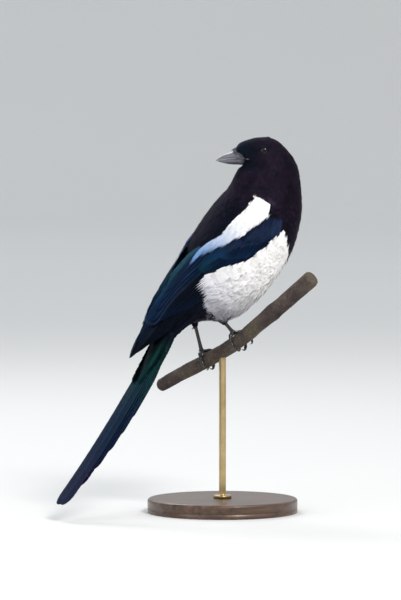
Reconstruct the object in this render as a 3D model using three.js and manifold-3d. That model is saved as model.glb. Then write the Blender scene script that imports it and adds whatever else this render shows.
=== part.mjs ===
// A Eurasian magpie at life size, looking back over its left shoulder from a cut length of branch
// that a small display stand holds.
// Millimetres, +Z up. The body faces +X and its left side is +Y. The origin is the middle of the
// underside of the stand's base, straight below the rod.

import * as THREE from "three";
import { mergeVertices } from "three/addons/utils/BufferGeometryUtils.js";
import Module from "manifold-3d";

const wasm = await Module();
wasm.setup();

// Driving dimensions
const GAP = 0.3; // between pieces that touch
const SLIVER = 0.06; // detail smaller than this is left out of joined feathers
const SIDES = { right: -1, left: 1 };

const TRUNK_SIDES = 24; // facets round the body
const TRUNK_STEPS = 2; // rings between two stations of the body

// The body's middle line from the tail root to the crown: x and z of each station, then the reach
// from the line towards the back, towards the belly and to each side.
const TRUNK = [
  { x: -62.6, z: 181.6, up: 9, down: 8, side: 12 }, // tail root
  { x: -50.4, z: 196, up: 18, down: 12, side: 20 }, // vent
  { x: -35, z: 210.8, up: 28, down: 25, side: 30.5 }, // loin
  { x: -17.8, z: 224.4, up: 37, down: 41.5, side: 39 }, // rear of the belly
  { x: -0.1, z: 240.2, up: 45.5, down: 46, side: 43 }, // belly
  { x: 16.9, z: 260.2, up: 48.5, down: 48.5, side: 44 }, // deepest part of the body
  { x: 32, z: 281.4, up: 47.5, down: 48.3, side: 42 }, // breast
  { x: 42.5, z: 300.5, up: 43.4, down: 44.6, side: 37 }, // shoulders
  { x: 48.5, z: 318, up: 37.6, down: 39.9, side: 33 }, // root of the neck
  { x: 53.3, z: 338, up: 32.5, down: 32, side: 28 }, // neck
  { x: 54, z: 352, up: 25, down: 25, side: 22 }, // nape
  { x: 53.8, z: 365, up: 15, down: 15, side: 14 }, // back of the crown
  { x: 52, z: 373, up: 4, down: 4, side: 4 }, // top
];

// The outer surface of the two folded wings, from the shoulder to the wing tips.
const FOLDED = [
  { x: 42.5, z: 300.5, up: 43.4, down: 47.6, side: 37.5 },
  { x: 32, z: 281.4, up: 47.5, down: 48.3, side: 42 },
  { x: 16.9, z: 260.2, up: 48.5, down: 48.5, side: 44 },
  { x: -0.1, z: 240.2, up: 46, down: 46, side: 43 },
  { x: -18.1, z: 224.6, up: 41.4, down: 41.4, side: 38.5 },
  { x: -36, z: 211.5, up: 34.5, down: 34, side: 31.5 },
  { x: -53.8, z: 198.3, up: 27, down: 26, side: 25 },
  { x: -69, z: 183.3, up: 20.5, down: 20, side: 20.5 },
  { x: -84.5, z: 168.6, up: 14, down: 13, side: 16.5 },
  { x: -98.6, z: 153, up: 8.5, down: 7, side: 12 },
];

// The head is turned to look back: its own forward line, and stations along it from the back of
// the skull to the root of the bill, with the top, the bottom and the reach to each side.
const HEAD_TURN = THREE.MathUtils.degToRad(152);
const HEAD_X = 49.4;
const HEAD_Y = 2.35;
const HEAD = [
  { h: -27, top: 355, bottom: 350, side: 3 },
  { h: -22, top: 361.5, bottom: 342, side: 11.5 },
  { h: -13, top: 369.8, bottom: 336, side: 17 },
  { h: -2, top: 374, bottom: 334, side: 18.6 },
  { h: 9, top: 374, bottom: 337, side: 17.4 },
  { h: 17, top: 372, bottom: 343.5, side: 13.8 },
  { h: 21.5, top: 370.4, bottom: 350.5, side: 11 },
  { h: 26, top: 368, bottom: 353.4, side: 8.6 },
  { h: 30.5, top: 362.8, bottom: 355.2, side: 6 },
];
const UPPER_BILL = [
  { h: 17, ridge: 364, line: 352, side: 7 },
  { h: 27, ridge: 362, line: 353.2, side: 6.6 },
  { h: 34, ridge: 359.2, line: 353, side: 5 },
  { h: 41, ridge: 356.9, line: 352.3, side: 3.4 },
  { h: 46, ridge: 353.8, line: 351, side: 1.9 },
  { h: 49.2, ridge: 350.6, line: 349.9, side: 0.5 },
];
const LOWER_BILL = [
  { h: 13, ridge: 347.5, line: 351, side: 6.6 },
  { h: 20, ridge: 346.7, line: 352.6, side: 6.4 },
  { h: 27, ridge: 346.5, line: 353.2, side: 5.8 },
  { h: 35, ridge: 346.9, line: 352.8, side: 4.4 },
  { h: 42, ridge: 348.3, line: 351.9, side: 2.6 },
  { h: 47, ridge: 349.7, line: 350.7, side: 0.8 },
];
const EYE = { h: 1, z: 360.6, out: 12.9, radius: 5.6, lid: 0.85, lidRing: 4.9 };
const GAPE = { from: 9.5, to: 20, z: 351.8, deep: 0.7 };

// Where the body is parted: the line of each cut, its height on the middle line and its lean.
const CUT_HEAD = { x: 53.8, z: 347, lean: 12.5, turn: -28 };
const CUT_NECK = { x: 50, z: 308, lean: -24, turn: 0 };

// Wing feathers. A place on the folded wing is [station of FOLDED, degrees down from the back].
// A tier is laid between its first and last feather, and each feather tips down under the next.
const VANE = 0.6;
const LAYER = 0.45;
const WING_TIERS = [
  {
    count: 4, // primaries
    roots: [[2.7, 79], [3.2, 66]],
    tips: [[8.3, 54], [8.95, 24]],
    width: 15,
    high: -3.4,
    bow: 6,
    steps: 4,
  },
  {
    count: 4, // secondaries
    roots: [[2.6, 72], [3.3, 46]],
    tips: [[5.9, 62], [7.0, 32]],
    width: 19,
    high: -1.7,
    bow: 3,
    steps: 3,
  },
  {
    count: 3, // tertials
    roots: [[3.2, 42], [3.3, 32]],
    tips: [[7.0, 27], [6.3, 17]],
    width: 16,
    high: -0.3,
    bow: 0,
    steps: 3,
  },
  {
    count: 2, // coverts of the primaries
    roots: [[1.2, 95], [1.6, 88]],
    tips: [[3.5, 87], [3.9, 79]],
    width: 10,
    high: -1.3,
    bow: 0,
    steps: 2,
  },
  {
    count: 4, // greater coverts
    roots: [[1.25, 89], [2.3, 60]],
    tips: [[3.3, 80], [4.25, 46]],
    width: 19,
    high: -0.5,
    bow: 0,
    steps: 2,
  },
  {
    count: 3, // white feathers of the shoulder
    roots: [[0.9, 70], [1.3, 54]],
    tips: [[2.7, 62], [3.9, 36]],
    width: 20,
    high: 0.8,
    bow: 0,
    steps: 3,
  },
];

// The tail: a curve that leaves the body at one pitch and ends at another, and its feathers from
// the middle pair outwards, each with the length that shows, its middle and its half width.
const TAIL = {
  x: -63,
  z: 181,
  pitchRoot: 60,
  pitchTip: 50.5,
  length: 203,
  sunk: 6,
};
const TAIL_FEATHERS = [
  { length: 203, middle: 4.6, half: 10.4 },
  { length: 180, middle: 6.6, half: 10.6 },
  { length: 158, middle: 9.6, half: 9.4 },
  { length: 137, middle: 11.2, half: 9.6 },
  { length: 117, middle: 12, half: 9.6 },
  { length: 96, middle: 12.6, half: 9.4 },
];
const TAIL_VANE = 0.65;
const TAIL_LAYER = 0.55;

// Perch, grips and legs
const BARK = 7.4; // radius of the branch where the feet hold it
const PERCH = [
  { x: -28, y: 80.5, z: 122.5, radius: 6.7 },
  { x: -17.5, y: 50, z: 137.5, radius: 7.2 },
  { x: -6.9, y: 20, z: 151, radius: BARK },
  { x: 7, y: -20, z: 171.5, radius: BARK },
  { x: 17, y: -51, z: 193, radius: 7.9 },
  { x: 28.5, y: -81, z: 215, radius: 8.1 },
  { x: 40, y: -110, z: 237.5, radius: 8.5 },
];
const GRIP = {
  right: { x: 7, y: -20, z: 171.5, ankle: [-27.2, -16, 213] },
  left: { x: -6.9, y: 20, z: 151, ankle: [-26.9, 16, 203] },
};
const TARSUS_RADIUS = 1.75;
const SOCK = { right: 30, left: 17, top: 7.5, end: 3 };
const TOES = [
  { name: "inner", sweep: 118, splay: -9, radius: 1.9, claw: 40 },
  { name: "middle", sweep: 148, splay: 0.5, radius: 2.1, claw: 42 },
  { name: "outer", sweep: 118, splay: 9.5, radius: 1.8, claw: 40 },
  { name: "hind", sweep: -100, splay: -1, radius: 2.2, claw: -62 },
];

// Display stand
const BASE_RADIUS = 75;
const BASE_HEIGHT = 14;
const BASE_EDGE = 2.5;
const ROD_RADIUS = 3.5;
const ROD_SUNK = 10;
const FLANGE = { radius: 9, height: 3 };

// Materials
function finish(color, roughness, metalness = 0) {
  return new THREE.MeshStandardMaterial({ color, roughness, metalness });
}
const BLACK_PLUMAGE = finish(0x14141a, 0.7);
const WHITE_PLUMAGE = finish(0xf0f0ee, 0.85);
const BLUE_PLUMAGE = finish(0x12304a, 0.4, 0.4);
const TAIL_PLUMAGE = finish(0x0f2c38, 0.4, 0.4);
const BILL_HORN = finish(0x2a2a30, 0.35);
const EYE_GLASS = finish(0x120a06, 0.08);
const LEG_SCALE = finish(0x1b1b1f, 0.5);
const CLAW_HORN = finish(0x121214, 0.35);
const BARK_BROWN = finish(0x5b4d40, 0.9);
const STAND_WOOD = finish(0x3a2618, 0.5);
const STAND_METAL = finish(0xb9a77a, 0.3, 1);

// Vectors and smooth lines
const UP = new THREE.Vector3(0, 0, 1);
const vec = (x, y, z) => new THREE.Vector3(x, y, z);
const rad = THREE.MathUtils.degToRad;
const mix = THREE.MathUtils.lerp;

// A number of a station list at a real-valued place in it, on a Catmull-Rom curve.
function along(stations, key, place) {
  const last = stations.length - 1;
  const from = Math.min(Math.max(Math.floor(place), 0), last - 1);
  const t = place - from;
  const at = (i) => stations[Math.min(Math.max(i, 0), last)][key];
  const [a, b, c, d] = [at(from - 1), at(from), at(from + 1), at(from + 2)];
  return 0.5 * (2 * b + (c - a) * t + (2 * a - 5 * b + 4 * c - d) * t ** 2 + (3 * b - a - 3 * c + d) * t ** 3);
}

// The place in a station list where a number that only grows has a value.
function placeOf(stations, key, value) {
  const next = stations.findIndex((station) => station[key] > value);
  const low = stations[next - 1][key];
  return next - 1 + (value - low) / (stations[next][key] - low);
}

// The unit vector towards the back at a place on a body line that starts at the tail (sense 1) or
// at the shoulder (sense -1).
function backward(stations, place, sense) {
  const step = 0.05;
  const dx = along(stations, "x", place + step) - along(stations, "x", place - step);
  const dz = along(stations, "z", place + step) - along(stations, "z", place - step);
  return vec(-dz, 0, dx).multiplyScalar(sense).normalize();
}

// A point of the body's or the folded wings' surface: an ellipse whose back half and belly half
// have their own heights, grown by a number of millimetres.
function surfacePoint(stations, sense, place, angle, grow) {
  const back = backward(stations, place, sense);
  const c = Math.cos(angle);
  const reach = along(stations, c > 0 ? "up" : "down", place) + grow;
  const out = (along(stations, "side", place) + grow) * Math.sin(angle);
  return vec(along(stations, "x", place), 0, along(stations, "z", place))
    .addScaledVector(back, reach * c)
    .add(vec(0, out, 0));
}

// Closed solids
function solid(points, faces) {
  const geometry = new THREE.BufferGeometry();
  geometry.setAttribute("position", new THREE.Float32BufferAttribute(points.flatMap((p) => p.toArray()), 3));
  geometry.setIndex(faces.flat());
  const merged = mergeVertices(geometry, 1e-4);
  const build = (order) =>
    new wasm.Manifold(
      new wasm.Mesh({
        numProp: 3,
        vertProperties: merged.attributes.position.array,
        triVerts: new Uint32Array(order),
      }),
    );
  const index = [...merged.index.array];
  const made = build(index);
  return made.volume() > 0 ? made : build(index.reverse());
}

function fromGeometry(geometry, matrix = new THREE.Matrix4()) {
  const plain = geometry.clone().applyMatrix4(matrix);
  for (const name of ["normal", "uv"]) plain.deleteAttribute(name);
  const merged = mergeVertices(plain, 1e-4);
  const points = [];
  const position = merged.attributes.position;
  for (let i = 0; i < position.count; i++) points.push(new THREE.Vector3().fromBufferAttribute(position, i));
  const faces = [];
  const index = merged.index.array;
  for (let i = 0; i < index.length; i += 3) {
    const face = [index[i], index[i + 1], index[i + 2]];
    if (new Set(face).size === 3) faces.push(face);
  }
  return solid(points, faces);
}

// Rings of equal count, joined in order and closed at both ends by a fan.
function loft(rings) {
  const count = rings[0].length;
  const points = rings.flat();
  const faces = [];
  for (let i = 0; i + 1 < rings.length; i++) {
    for (let j = 0; j < count; j++) {
      const a = i * count + j;
      const b = i * count + ((j + 1) % count);
      faces.push([a, b, a + count], [b, b + count, a + count]);
    }
  }
  for (const [ring, flip] of [[0, true], [rings.length - 1, false]]) {
    const centre = rings[ring].reduce((sum, p) => sum.add(p), vec(0, 0, 0)).divideScalar(count);
    const middle = points.push(centre) - 1;
    for (let j = 0; j < count; j++) {
      const a = ring * count + j;
      const b = ring * count + ((j + 1) % count);
      faces.push(flip ? [b, a, middle] : [a, b, middle]);
    }
  }
  return solid(points, faces);
}

// A thin plate between two grids of points, with the same diagonals on both faces.
function plate(top, bottom) {
  const rows = top.length;
  const columns = top[0].length;
  const points = [...top.flat(), ...bottom.flat()];
  const at = (i, j) => i * columns + j;
  const under = rows * columns;
  const faces = [];
  for (let i = 0; i + 1 < rows; i++) {
    for (let j = 0; j + 1 < columns; j++) {
      const [a, b, c, d] = [at(i, j), at(i, j + 1), at(i + 1, j + 1), at(i + 1, j)];
      faces.push([a, b, c], [a, c, d]);
      faces.push([under + c, under + b, under + a], [under + d, under + c, under + a]);
    }
  }
  const wall = (a, b) => faces.push([b, a, under + a], [b, under + a, under + b]);
  for (let i = 0; i + 1 < rows; i++) {
    wall(at(i + 1, 0), at(i, 0));
    wall(at(i, columns - 1), at(i + 1, columns - 1));
  }
  for (let j = 0; j + 1 < columns; j++) {
    wall(at(0, j), at(0, j + 1));
    wall(at(rows - 1, j + 1), at(rows - 1, j));
  }
  return solid(points, faces);
}

// A round tube along a line of points, with a radius for each.
function tube(points, radii, sides) {
  let across = vec(0, 0, 0);
  const rings = points.map((point, i) => {
    const ahead = points[Math.min(i + 1, points.length - 1)];
    const behind = points[Math.max(i - 1, 0)];
    const way = ahead.clone().sub(behind).normalize();
    if (i === 0) across = Math.abs(way.z) < 0.9 ? vec(0, 0, 1) : vec(1, 0, 0);
    across = across.clone().addScaledVector(way, -across.dot(way)).normalize();
    const other = way.clone().cross(across);
    return Array.from({ length: sides }, (_, j) => {
      const angle = (2 * Math.PI * j) / sides;
      return point
        .clone()
        .addScaledVector(across, radii[i] * Math.cos(angle))
        .addScaledVector(other, radii[i] * Math.sin(angle));
    });
  });
  return loft(rings);
}

function join(solids) {
  return wasm.Manifold.union(solids);
}

function largest(made) {
  return made.decompose().sort((a, b) => b.volume() - a.volume())[0];
}

// The same solid without the slivers that joining leaves.
function plain(made) {
  return largest(largest(made).simplify(SLIVER));
}

// Trunk and head
function trunkSolid(grow) {
  const rings = [];
  const last = (TRUNK.length - 1) * TRUNK_STEPS;
  for (let i = 0; i <= last; i++) {
    const place = i / TRUNK_STEPS;
    rings.push(
      Array.from({ length: TRUNK_SIDES }, (_, j) =>
        surfacePoint(TRUNK, 1, place, (2 * Math.PI * j) / TRUNK_SIDES, grow),
      ),
    );
  }
  return loft(rings);
}

const FORWARD = vec(Math.cos(HEAD_TURN), Math.sin(HEAD_TURN), 0);
const HEAD_LEFT = UP.clone().cross(FORWARD);
function headPoint(h, out, z) {
  return vec(HEAD_X, HEAD_Y, z).addScaledVector(FORWARD, h).addScaledVector(HEAD_LEFT, out);
}

function headSolid() {
  const sides = 20;
  const rings = [];
  for (let i = 0; i <= (HEAD.length - 1) * 2; i++) {
    const place = i / 2;
    const top = along(HEAD, "top", place);
    const bottom = along(HEAD, "bottom", place);
    rings.push(
      Array.from({ length: sides }, (_, j) => {
        const angle = (2 * Math.PI * j) / sides;
        const z = (top + bottom) / 2 + ((top - bottom) / 2) * Math.cos(angle);
        return headPoint(along(HEAD, "h", place), along(HEAD, "side", place) * Math.sin(angle), z);
      }),
    );
  }
  return loft(rings);
}

// One half of the bill: a half ellipse between the line of the mouth and the ridge, grown by a
// number of millimetres. The mouth side is moved clear of the line by half a gap.
function billSolid(stations, grow) {
  const arc = 7;
  const rings = [];
  for (let place = 0; place < stations.length; place++) {
    const ridge = along(stations, "ridge", place);
    const line = along(stations, "line", place);
    const sense = Math.sign(stations[0].ridge - stations[0].line);
    const base = line + sense * (GAP / 2 - grow);
    const tall = Math.max(Math.abs(ridge - line) - GAP / 2 + 2 * grow, 0.35);
    const side = along(stations, "side", place) + grow;
    const h = along(stations, "h", place) + (place === 0 ? -grow : 0);
    rings.push(
      Array.from({ length: arc }, (_, j) => {
        const angle = (Math.PI * j) / (arc - 1);
        return headPoint(h, side * Math.cos(angle), base + sense * tall * Math.sin(angle) ** 0.9);
      }),
    );
  }
  return loft(rings);
}

function eyeBall(side, grow) {
  const turned = new THREE.Matrix4().makeTranslation(headPoint(EYE.h, side * EYE.out, EYE.z));
  return fromGeometry(new THREE.SphereGeometry(EYE.radius + grow, 14, 9), turned);
}

function lidRing(side) {
  const out = EYE.out + Math.sqrt(EYE.radius ** 2 - EYE.lidRing ** 2) + 0.5;
  const way = HEAD_LEFT.clone().multiplyScalar(side);
  const place = new THREE.Matrix4().makeTranslation(headPoint(EYE.h, side * out, EYE.z));
  const turn = new THREE.Matrix4().makeRotationFromQuaternion(
    new THREE.Quaternion().setFromUnitVectors(UP, way),
  );
  return fromGeometry(new THREE.TorusGeometry(EYE.lidRing, EYE.lid, 5, 14), place.multiply(turn));
}

// The stiff feathers that lie forward over the nostrils, in two rows on each side.
function nasalBristles() {
  const made = [];
  for (const side of [-1, 1]) {
    for (let k = 0; k < 3; k++) {
      const high = 362 - 2.6 * k;
      const top = [];
      const bottom = [];
      for (let i = 0; i <= 2; i++) {
        const t = i / 2;
        const h = mix(24, 35.5 - 0.9 * k, t);
        const half = mix(2.1, 0.8, t);
        const z = mix(high, high - 1.6 + 0.4 * k, t);
        const out = mix(4.6 + 1.1 * k, 3.4 + 0.9 * k, t) + 0.9;
        top.push([headPoint(h, side * (out - 0.3), z + half), headPoint(h, side * (out + 0.7), z - half)]);
        bottom.push([
          headPoint(h, side * (out - 0.9), z + half),
          headPoint(h, side * (out + 0.1), z - half),
        ]);
      }
      made.push(plate(top, bottom));
    }
  }
  return made;
}

// The corner of the mouth, a groove that runs back under the eye.
function gapeGroove(side) {
  const points = [];
  for (let i = 0; i <= 4; i++) {
    const h = mix(GAPE.from, GAPE.to, i / 4);
    const wide = along(HEAD, "side", placeOf(HEAD, "h", h));
    points.push(headPoint(h, side * 0.97 * wide, GAPE.z));
  }
  return tube(points, points.map(() => GAPE.deep), 6);
}

// A cut through the body: everything on one side of a leaning plane.
function plane(cut) {
  const lean = rad(cut.lean);
  const turn = rad(cut.turn);
  const normal = vec(-Math.sin(lean) * Math.cos(turn), -Math.sin(lean) * Math.sin(turn), Math.cos(lean));
  return { normal, offset: normal.dot(vec(cut.x, 0, cut.z)) };
}
function above(made, cut, gap = GAP / 2) {
  const { normal, offset } = plane(cut);
  return made.trimByPlane(normal.toArray(), offset + gap);
}
function below(made, cut, gap = GAP / 2) {
  const { normal, offset } = plane(cut);
  return made.trimByPlane(normal.clone().negate().toArray(), gap - offset);
}

// Wings
function foldedPoint(side, place, degrees, grow) {
  return surfacePoint(FOLDED, -1, place, side * rad(degrees), grow);
}

// The room that a folded wing takes out of the body, and the plate of arm and hand in it: how far
// down from the back it starts and ends at each station.
const WING_REACH = [
  { inner: 66, outer: 88 },
  { inner: 50, outer: 100 },
  { inner: 42, outer: 92 },
  { inner: 30, outer: 82 },
  { inner: 16, outer: 74 },
  { inner: 10, outer: 68 },
  { inner: 6, outer: 64 },
];
function wingSlab(side, deep, high, from, to, spread) {
  const steps = 6;
  const across = 4;
  const top = [];
  const bottom = [];
  for (let i = 0; i <= steps; i++) {
    const place = mix(from, to, i / steps);
    const inner = along(WING_REACH, "inner", place) - spread;
    const outer = along(WING_REACH, "outer", place) + spread;
    const row = (grow) =>
      Array.from({ length: across + 1 }, (_, j) =>
        foldedPoint(side, place, mix(inner, outer, j / across), grow),
      );
    top.push(row(high(place)));
    bottom.push(row(deep(place)));
  }
  return plate(top, bottom);
}
const pocketDepth = (place) => -6.6 + 2.6 * Math.max(0, 1 - place);
const armTop = (place) => -1.1 - 0.8 * Math.max(0, place - 2.2);
const pocket = (side, gap) =>
  wingSlab(side, (place) => pocketDepth(place) + gap, () => 12, 0.2 + gap / 18, 5, 1.5 - 1.6 * gap);

// One feather on the folded wing, from its root in the arm to its tip.
function wingVane(side, tier, root, tip, raised) {
  const top = [];
  const bottom = [];
  for (let i = 0; i <= tier.steps; i++) {
    const t = i / tier.steps;
    const place = mix(root[0], tip[0], t);
    const degrees = mix(root[1], tip[1], t) + tier.bow * Math.sin(Math.PI * t);
    const half = (tier.width / 2) * Math.min(0.5 + 1.6 * t, 1, Math.sqrt(Math.max(1.06 - t ** 4, 0.1)));
    const round = along(FOLDED, "side", place);
    const out = Math.min(2.2 * t, 1);
    const high = mix(armTop(root[0]) - 0.5, tier.high + raised, out);
    const row = (lower) =>
      [-1, 1].map((j) => {
        const angle = Math.max(degrees + j * THREE.MathUtils.radToDeg(half / round), 2.2 + 0.4 * j);
        return foldedPoint(side, place, angle, high - lower);
      });
    top.push(row(0));
    bottom.push(row(VANE));
  }
  return plate(top, bottom);
}

function tierOf(side, tier) {
  return Array.from({ length: tier.count }, (_, k) => {
    const share = k / (tier.count - 1);
    const root = tier.roots[0].map((a, i) => mix(a, tier.roots[1][i], share));
    const tip = tier.tips[0].map((a, i) => mix(a, tier.tips[1][i], share));
    return wingVane(side, tier, root, tip, LAYER * k);
  });
}

function wingSolid(side) {
  const arm = wingSlab(side, (place) => pocketDepth(place) + GAP, armTop, 0.3, 4.4, 0);
  return join([arm, ...WING_TIERS.flatMap((tier) => tierOf(side, tier))]);
}

// Tail
function tailLine(l) {
  const steps = 20;
  let x = TAIL.x;
  let z = TAIL.z;
  for (let i = 0; i < steps; i++) {
    const pitch = rad(mix(TAIL.pitchRoot, TAIL.pitchTip, (l * (i + 0.5)) / steps / TAIL.length));
    x -= (l / steps) * Math.cos(pitch);
    z -= (l / steps) * Math.sin(pitch);
  }
  const pitch = rad(mix(TAIL.pitchRoot, TAIL.pitchTip, l / TAIL.length));
  return { point: vec(x, 0, z), back: vec(-Math.sin(pitch), 0, Math.cos(pitch)) };
}

function tailVane(feather, side, high) {
  const steps = 7;
  const top = [];
  const bottom = [];
  for (let i = 0; i <= steps; i++) {
    const t = i / steps;
    const l = mix(TAIL.sunk, feather.length, t);
    const half = feather.half * Math.min(0.45 + 1.3 * t, 1, Math.sqrt(Math.max(1.02 - t ** 9, 0.04)));
    const middle = side * feather.middle * Math.min(0.4 + 1.2 * t, 1);
    const { point, back } = tailLine(l);
    const row = (lower) =>
      [-1, 1].map((j) => {
        const across = middle + j * half;
        const crown = 0.012 * across * across * 0.6;
        return point
          .clone()
          .add(vec(0, across, 0))
          .addScaledVector(back, high - crown - lower);
      });
    top.push(row(0));
    bottom.push(row(TAIL_VANE));
  }
  return plate(top, bottom);
}

// The feathered root of the tail: coverts above and below that narrow to a flat end.
function tailRoot() {
  const rings = [];
  const ends = [
    { l: 0.5, up: 9, down: 8, side: 12 },
    { l: 14, up: 8, down: 8.5, side: 14.5 },
    { l: 32, up: 6, down: 8, side: 15 },
    { l: 52, up: 4, down: 7, side: 13.5 },
    { l: 66, up: 2.5, down: 5.5, side: 8 },
  ];
  for (let i = 0; i <= (ends.length - 1) * 2; i++) {
    const place = i / 2;
    const { point, back } = tailLine(along(ends, "l", place));
    rings.push(
      Array.from({ length: 18 }, (_, j) => {
        const angle = (2 * Math.PI * j) / 18;
        const reach = along(ends, Math.cos(angle) > 0 ? "up" : "down", place);
        return point
          .clone()
          .addScaledVector(back, reach * Math.cos(angle))
          .add(vec(0, along(ends, "side", place) * Math.sin(angle), 0));
      }),
    );
  }
  return loft(rings);
}

function tailSolid() {
  const vanes = [];
  TAIL_FEATHERS.forEach((feather, k) => {
    for (const side of [-1, 1]) {
      const apart = k < 2 ? 2 * k + (side > 0 ? 1 : 0) : k + 2;
      vanes.push(tailVane(feather, side, 3.6 - apart * TAIL_LAYER));
    }
  });
  return join([tailRoot(), ...vanes]);
}

// Perch
const PERCH_LINE = new THREE.CatmullRomCurve3(PERCH.map((p) => vec(p.x, p.y, p.z)));
function perchSolid() {
  const steps = 30;
  const points = [];
  const radii = [];
  for (let i = 0; i <= steps; i++) {
    const place = (i / steps) * (PERCH.length - 1);
    points.push(PERCH_LINE.getPoint(i / steps));
    radii.push(along(PERCH, "radius", place));
  }
  const branch = tube(points, radii, 12);
  const root = PERCH_LINE.getPoint(0.74);
  const twig = tube(
    [root, root.clone().add(vec(7, -3, 8)), root.clone().add(vec(12.5, -7, 15))],
    [4.2, 3.1, 2.7],
    8,
  );
  return join([branch, twig]);
}

// Legs
function gripFrame(side) {
  const { x, y, z } = GRIP[side];
  const centre = vec(x, y, z);
  const run = vec(PERCH[3].x - PERCH[2].x, PERCH[3].y - PERCH[2].y, PERCH[3].z - PERCH[2].z).normalize();
  const top = vec(-0.22, 0, 1);
  top.addScaledVector(run, -top.dot(run)).normalize();
  return { centre, run, top, front: top.clone().cross(run) };
}

// A point over the bark: degrees round the branch from its top towards the front, millimetres out
// from the bark and along the branch.
function gripPoint(frame, degrees, out, shift) {
  const angle = rad(degrees);
  return frame.centre
    .clone()
    .addScaledVector(frame.top, (BARK + out) * Math.cos(angle))
    .addScaledVector(frame.front, (BARK + out) * Math.sin(angle))
    .addScaledVector(frame.run, shift);
}

function toeShift(side, toe, t) {
  return -SIDES[side] * toe.splay * Math.sin((t * Math.PI) / 2);
}

function toeSolid(side, toe) {
  const frame = gripFrame(side);
  const steps = 7;
  const points = [];
  const radii = [];
  for (let i = 0; i <= steps; i++) {
    const t = i / steps;
    const pads = 1 + 0.09 * Math.cos(2 * Math.PI * t * 3);
    const radius = mix(toe.radius, toe.radius * 0.72, t) * pads;
    radii.push(radius);
    points.push(gripPoint(frame, toe.sweep * t, GAP + radius + 0.25, toeShift(side, toe, t)));
  }
  return tube(points, radii, 7);
}

function clawSolid(side, toe) {
  const frame = gripFrame(side);
  const steps = 5;
  const points = [];
  const radii = [];
  const start = toe.sweep + (Math.sign(toe.sweep) * GAP * 180) / (Math.PI * (BARK + 2.2));
  for (let i = 0; i <= steps; i++) {
    const t = i / steps;
    const radius = mix(toe.radius * 0.62, 0.28, t ** 0.85);
    radii.push(radius);
    points.push(
      gripPoint(
        frame,
        start + toe.claw * t,
        GAP + 0.25 + mix(toe.radius * 0.75, radius, t) + 1.1 * Math.sin(Math.PI * t),
        toeShift(side, toe, 1),
      ),
    );
  }
  return tube(points, radii, 7);
}

function shank(side) {
  const frame = gripFrame(side);
  const ankle = vec(...GRIP[side].ankle);
  const foot = gripPoint(frame, -4, GAP + 3.4, 0);
  const way = foot.clone().sub(ankle);
  return { ankle, foot, way: way.clone().normalize(), long: way.length() };
}

function legSolid(side) {
  const { ankle, foot, way, long } = shank(side);
  const steps = 7;
  const points = [];
  const radii = [];
  for (let i = 0; i <= steps; i++) {
    const t = i / steps;
    points.push(ankle.clone().addScaledVector(way, mix(SOCK[side] + GAP, long, t)));
    radii.push(TARSUS_RADIUS * (1 + 0.35 * t ** 6 + 0.12 * (1 - t) ** 4));
  }
  const pad = fromGeometry(new THREE.SphereGeometry(3, 10, 8), new THREE.Matrix4().makeTranslation(foot));
  return join([tube(points, radii, 9), pad, ...TOES.map((toe) => toeSolid(side, toe))]);
}

function sockSolid(side) {
  const { ankle, way } = shank(side);
  const points = [];
  const radii = [];
  for (let i = 0; i <= 5; i++) {
    const t = i / 5;
    points.push(ankle.clone().addScaledVector(way, mix(-14, SOCK[side], t)));
    radii.push(mix(SOCK.top + 3, SOCK.end, t ** 1.3));
  }
  return tube(points, radii, 12);
}

// Display stand
function rodSolid(grow) {
  const top = PERCH_LINE.getPoint(2.5 / (PERCH.length - 1)).z;
  const low = BASE_HEIGHT - ROD_SUNK;
  const r = ROD_RADIUS + grow;
  const flangeLow = BASE_HEIGHT + GAP - grow;
  const flangeHigh = BASE_HEIGHT + GAP + FLANGE.height + grow;
  const profile = [
    [0, low - grow],
    [r, low - grow],
    [r, flangeLow],
    [FLANGE.radius + grow, flangeLow],
    [FLANGE.radius + grow - 1, flangeHigh],
    [r, flangeHigh],
    [r, top + grow],
    [0, top + grow],
  ].map(([x, y]) => new THREE.Vector2(x, y));
  return fromGeometry(new THREE.LatheGeometry(profile, 24), new THREE.Matrix4().makeRotationX(Math.PI / 2));
}

function baseSolid() {
  const profile = [
    [0, 0],
    [BASE_RADIUS, 0],
    [BASE_RADIUS, BASE_HEIGHT - BASE_EDGE],
    [BASE_RADIUS - BASE_EDGE * 0.3, BASE_HEIGHT - BASE_EDGE * 0.3],
    [BASE_RADIUS - BASE_EDGE, BASE_HEIGHT],
    [0, BASE_HEIGHT],
  ].map(([x, y]) => new THREE.Vector2(x, y));
  return fromGeometry(new THREE.LatheGeometry(profile, 40), new THREE.Matrix4().makeRotationX(Math.PI / 2));
}

// Assembly
const bird = new THREE.Group();
function add(name, made, material) {
  const mesh = made.getMesh();
  const geometry = new THREE.BufferGeometry();
  const position = new Float32Array(mesh.numVert * 3);
  for (let i = 0; i < mesh.numVert; i++) {
    position.set(mesh.vertProperties.subarray(i * mesh.numProp, i * mesh.numProp + 3), i * 3);
  }
  geometry.setAttribute("position", new THREE.BufferAttribute(position, 3));
  geometry.setIndex(new THREE.BufferAttribute(mesh.triVerts, 1));
  geometry.computeVertexNormals();
  const node = new THREE.Mesh(geometry, material);
  node.name = name;
  bird.add(node);
}

// The body with the wings' places cut out, grown by a number of millimetres.
function bodySolid(grow) {
  const body = join([trunkSolid(grow), headSolid()]);
  return body.subtract(join([pocket(-1, grow), pocket(1, grow)]));
}
const whole = bodySolid(0);
const grown = bodySolid(GAP);

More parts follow.
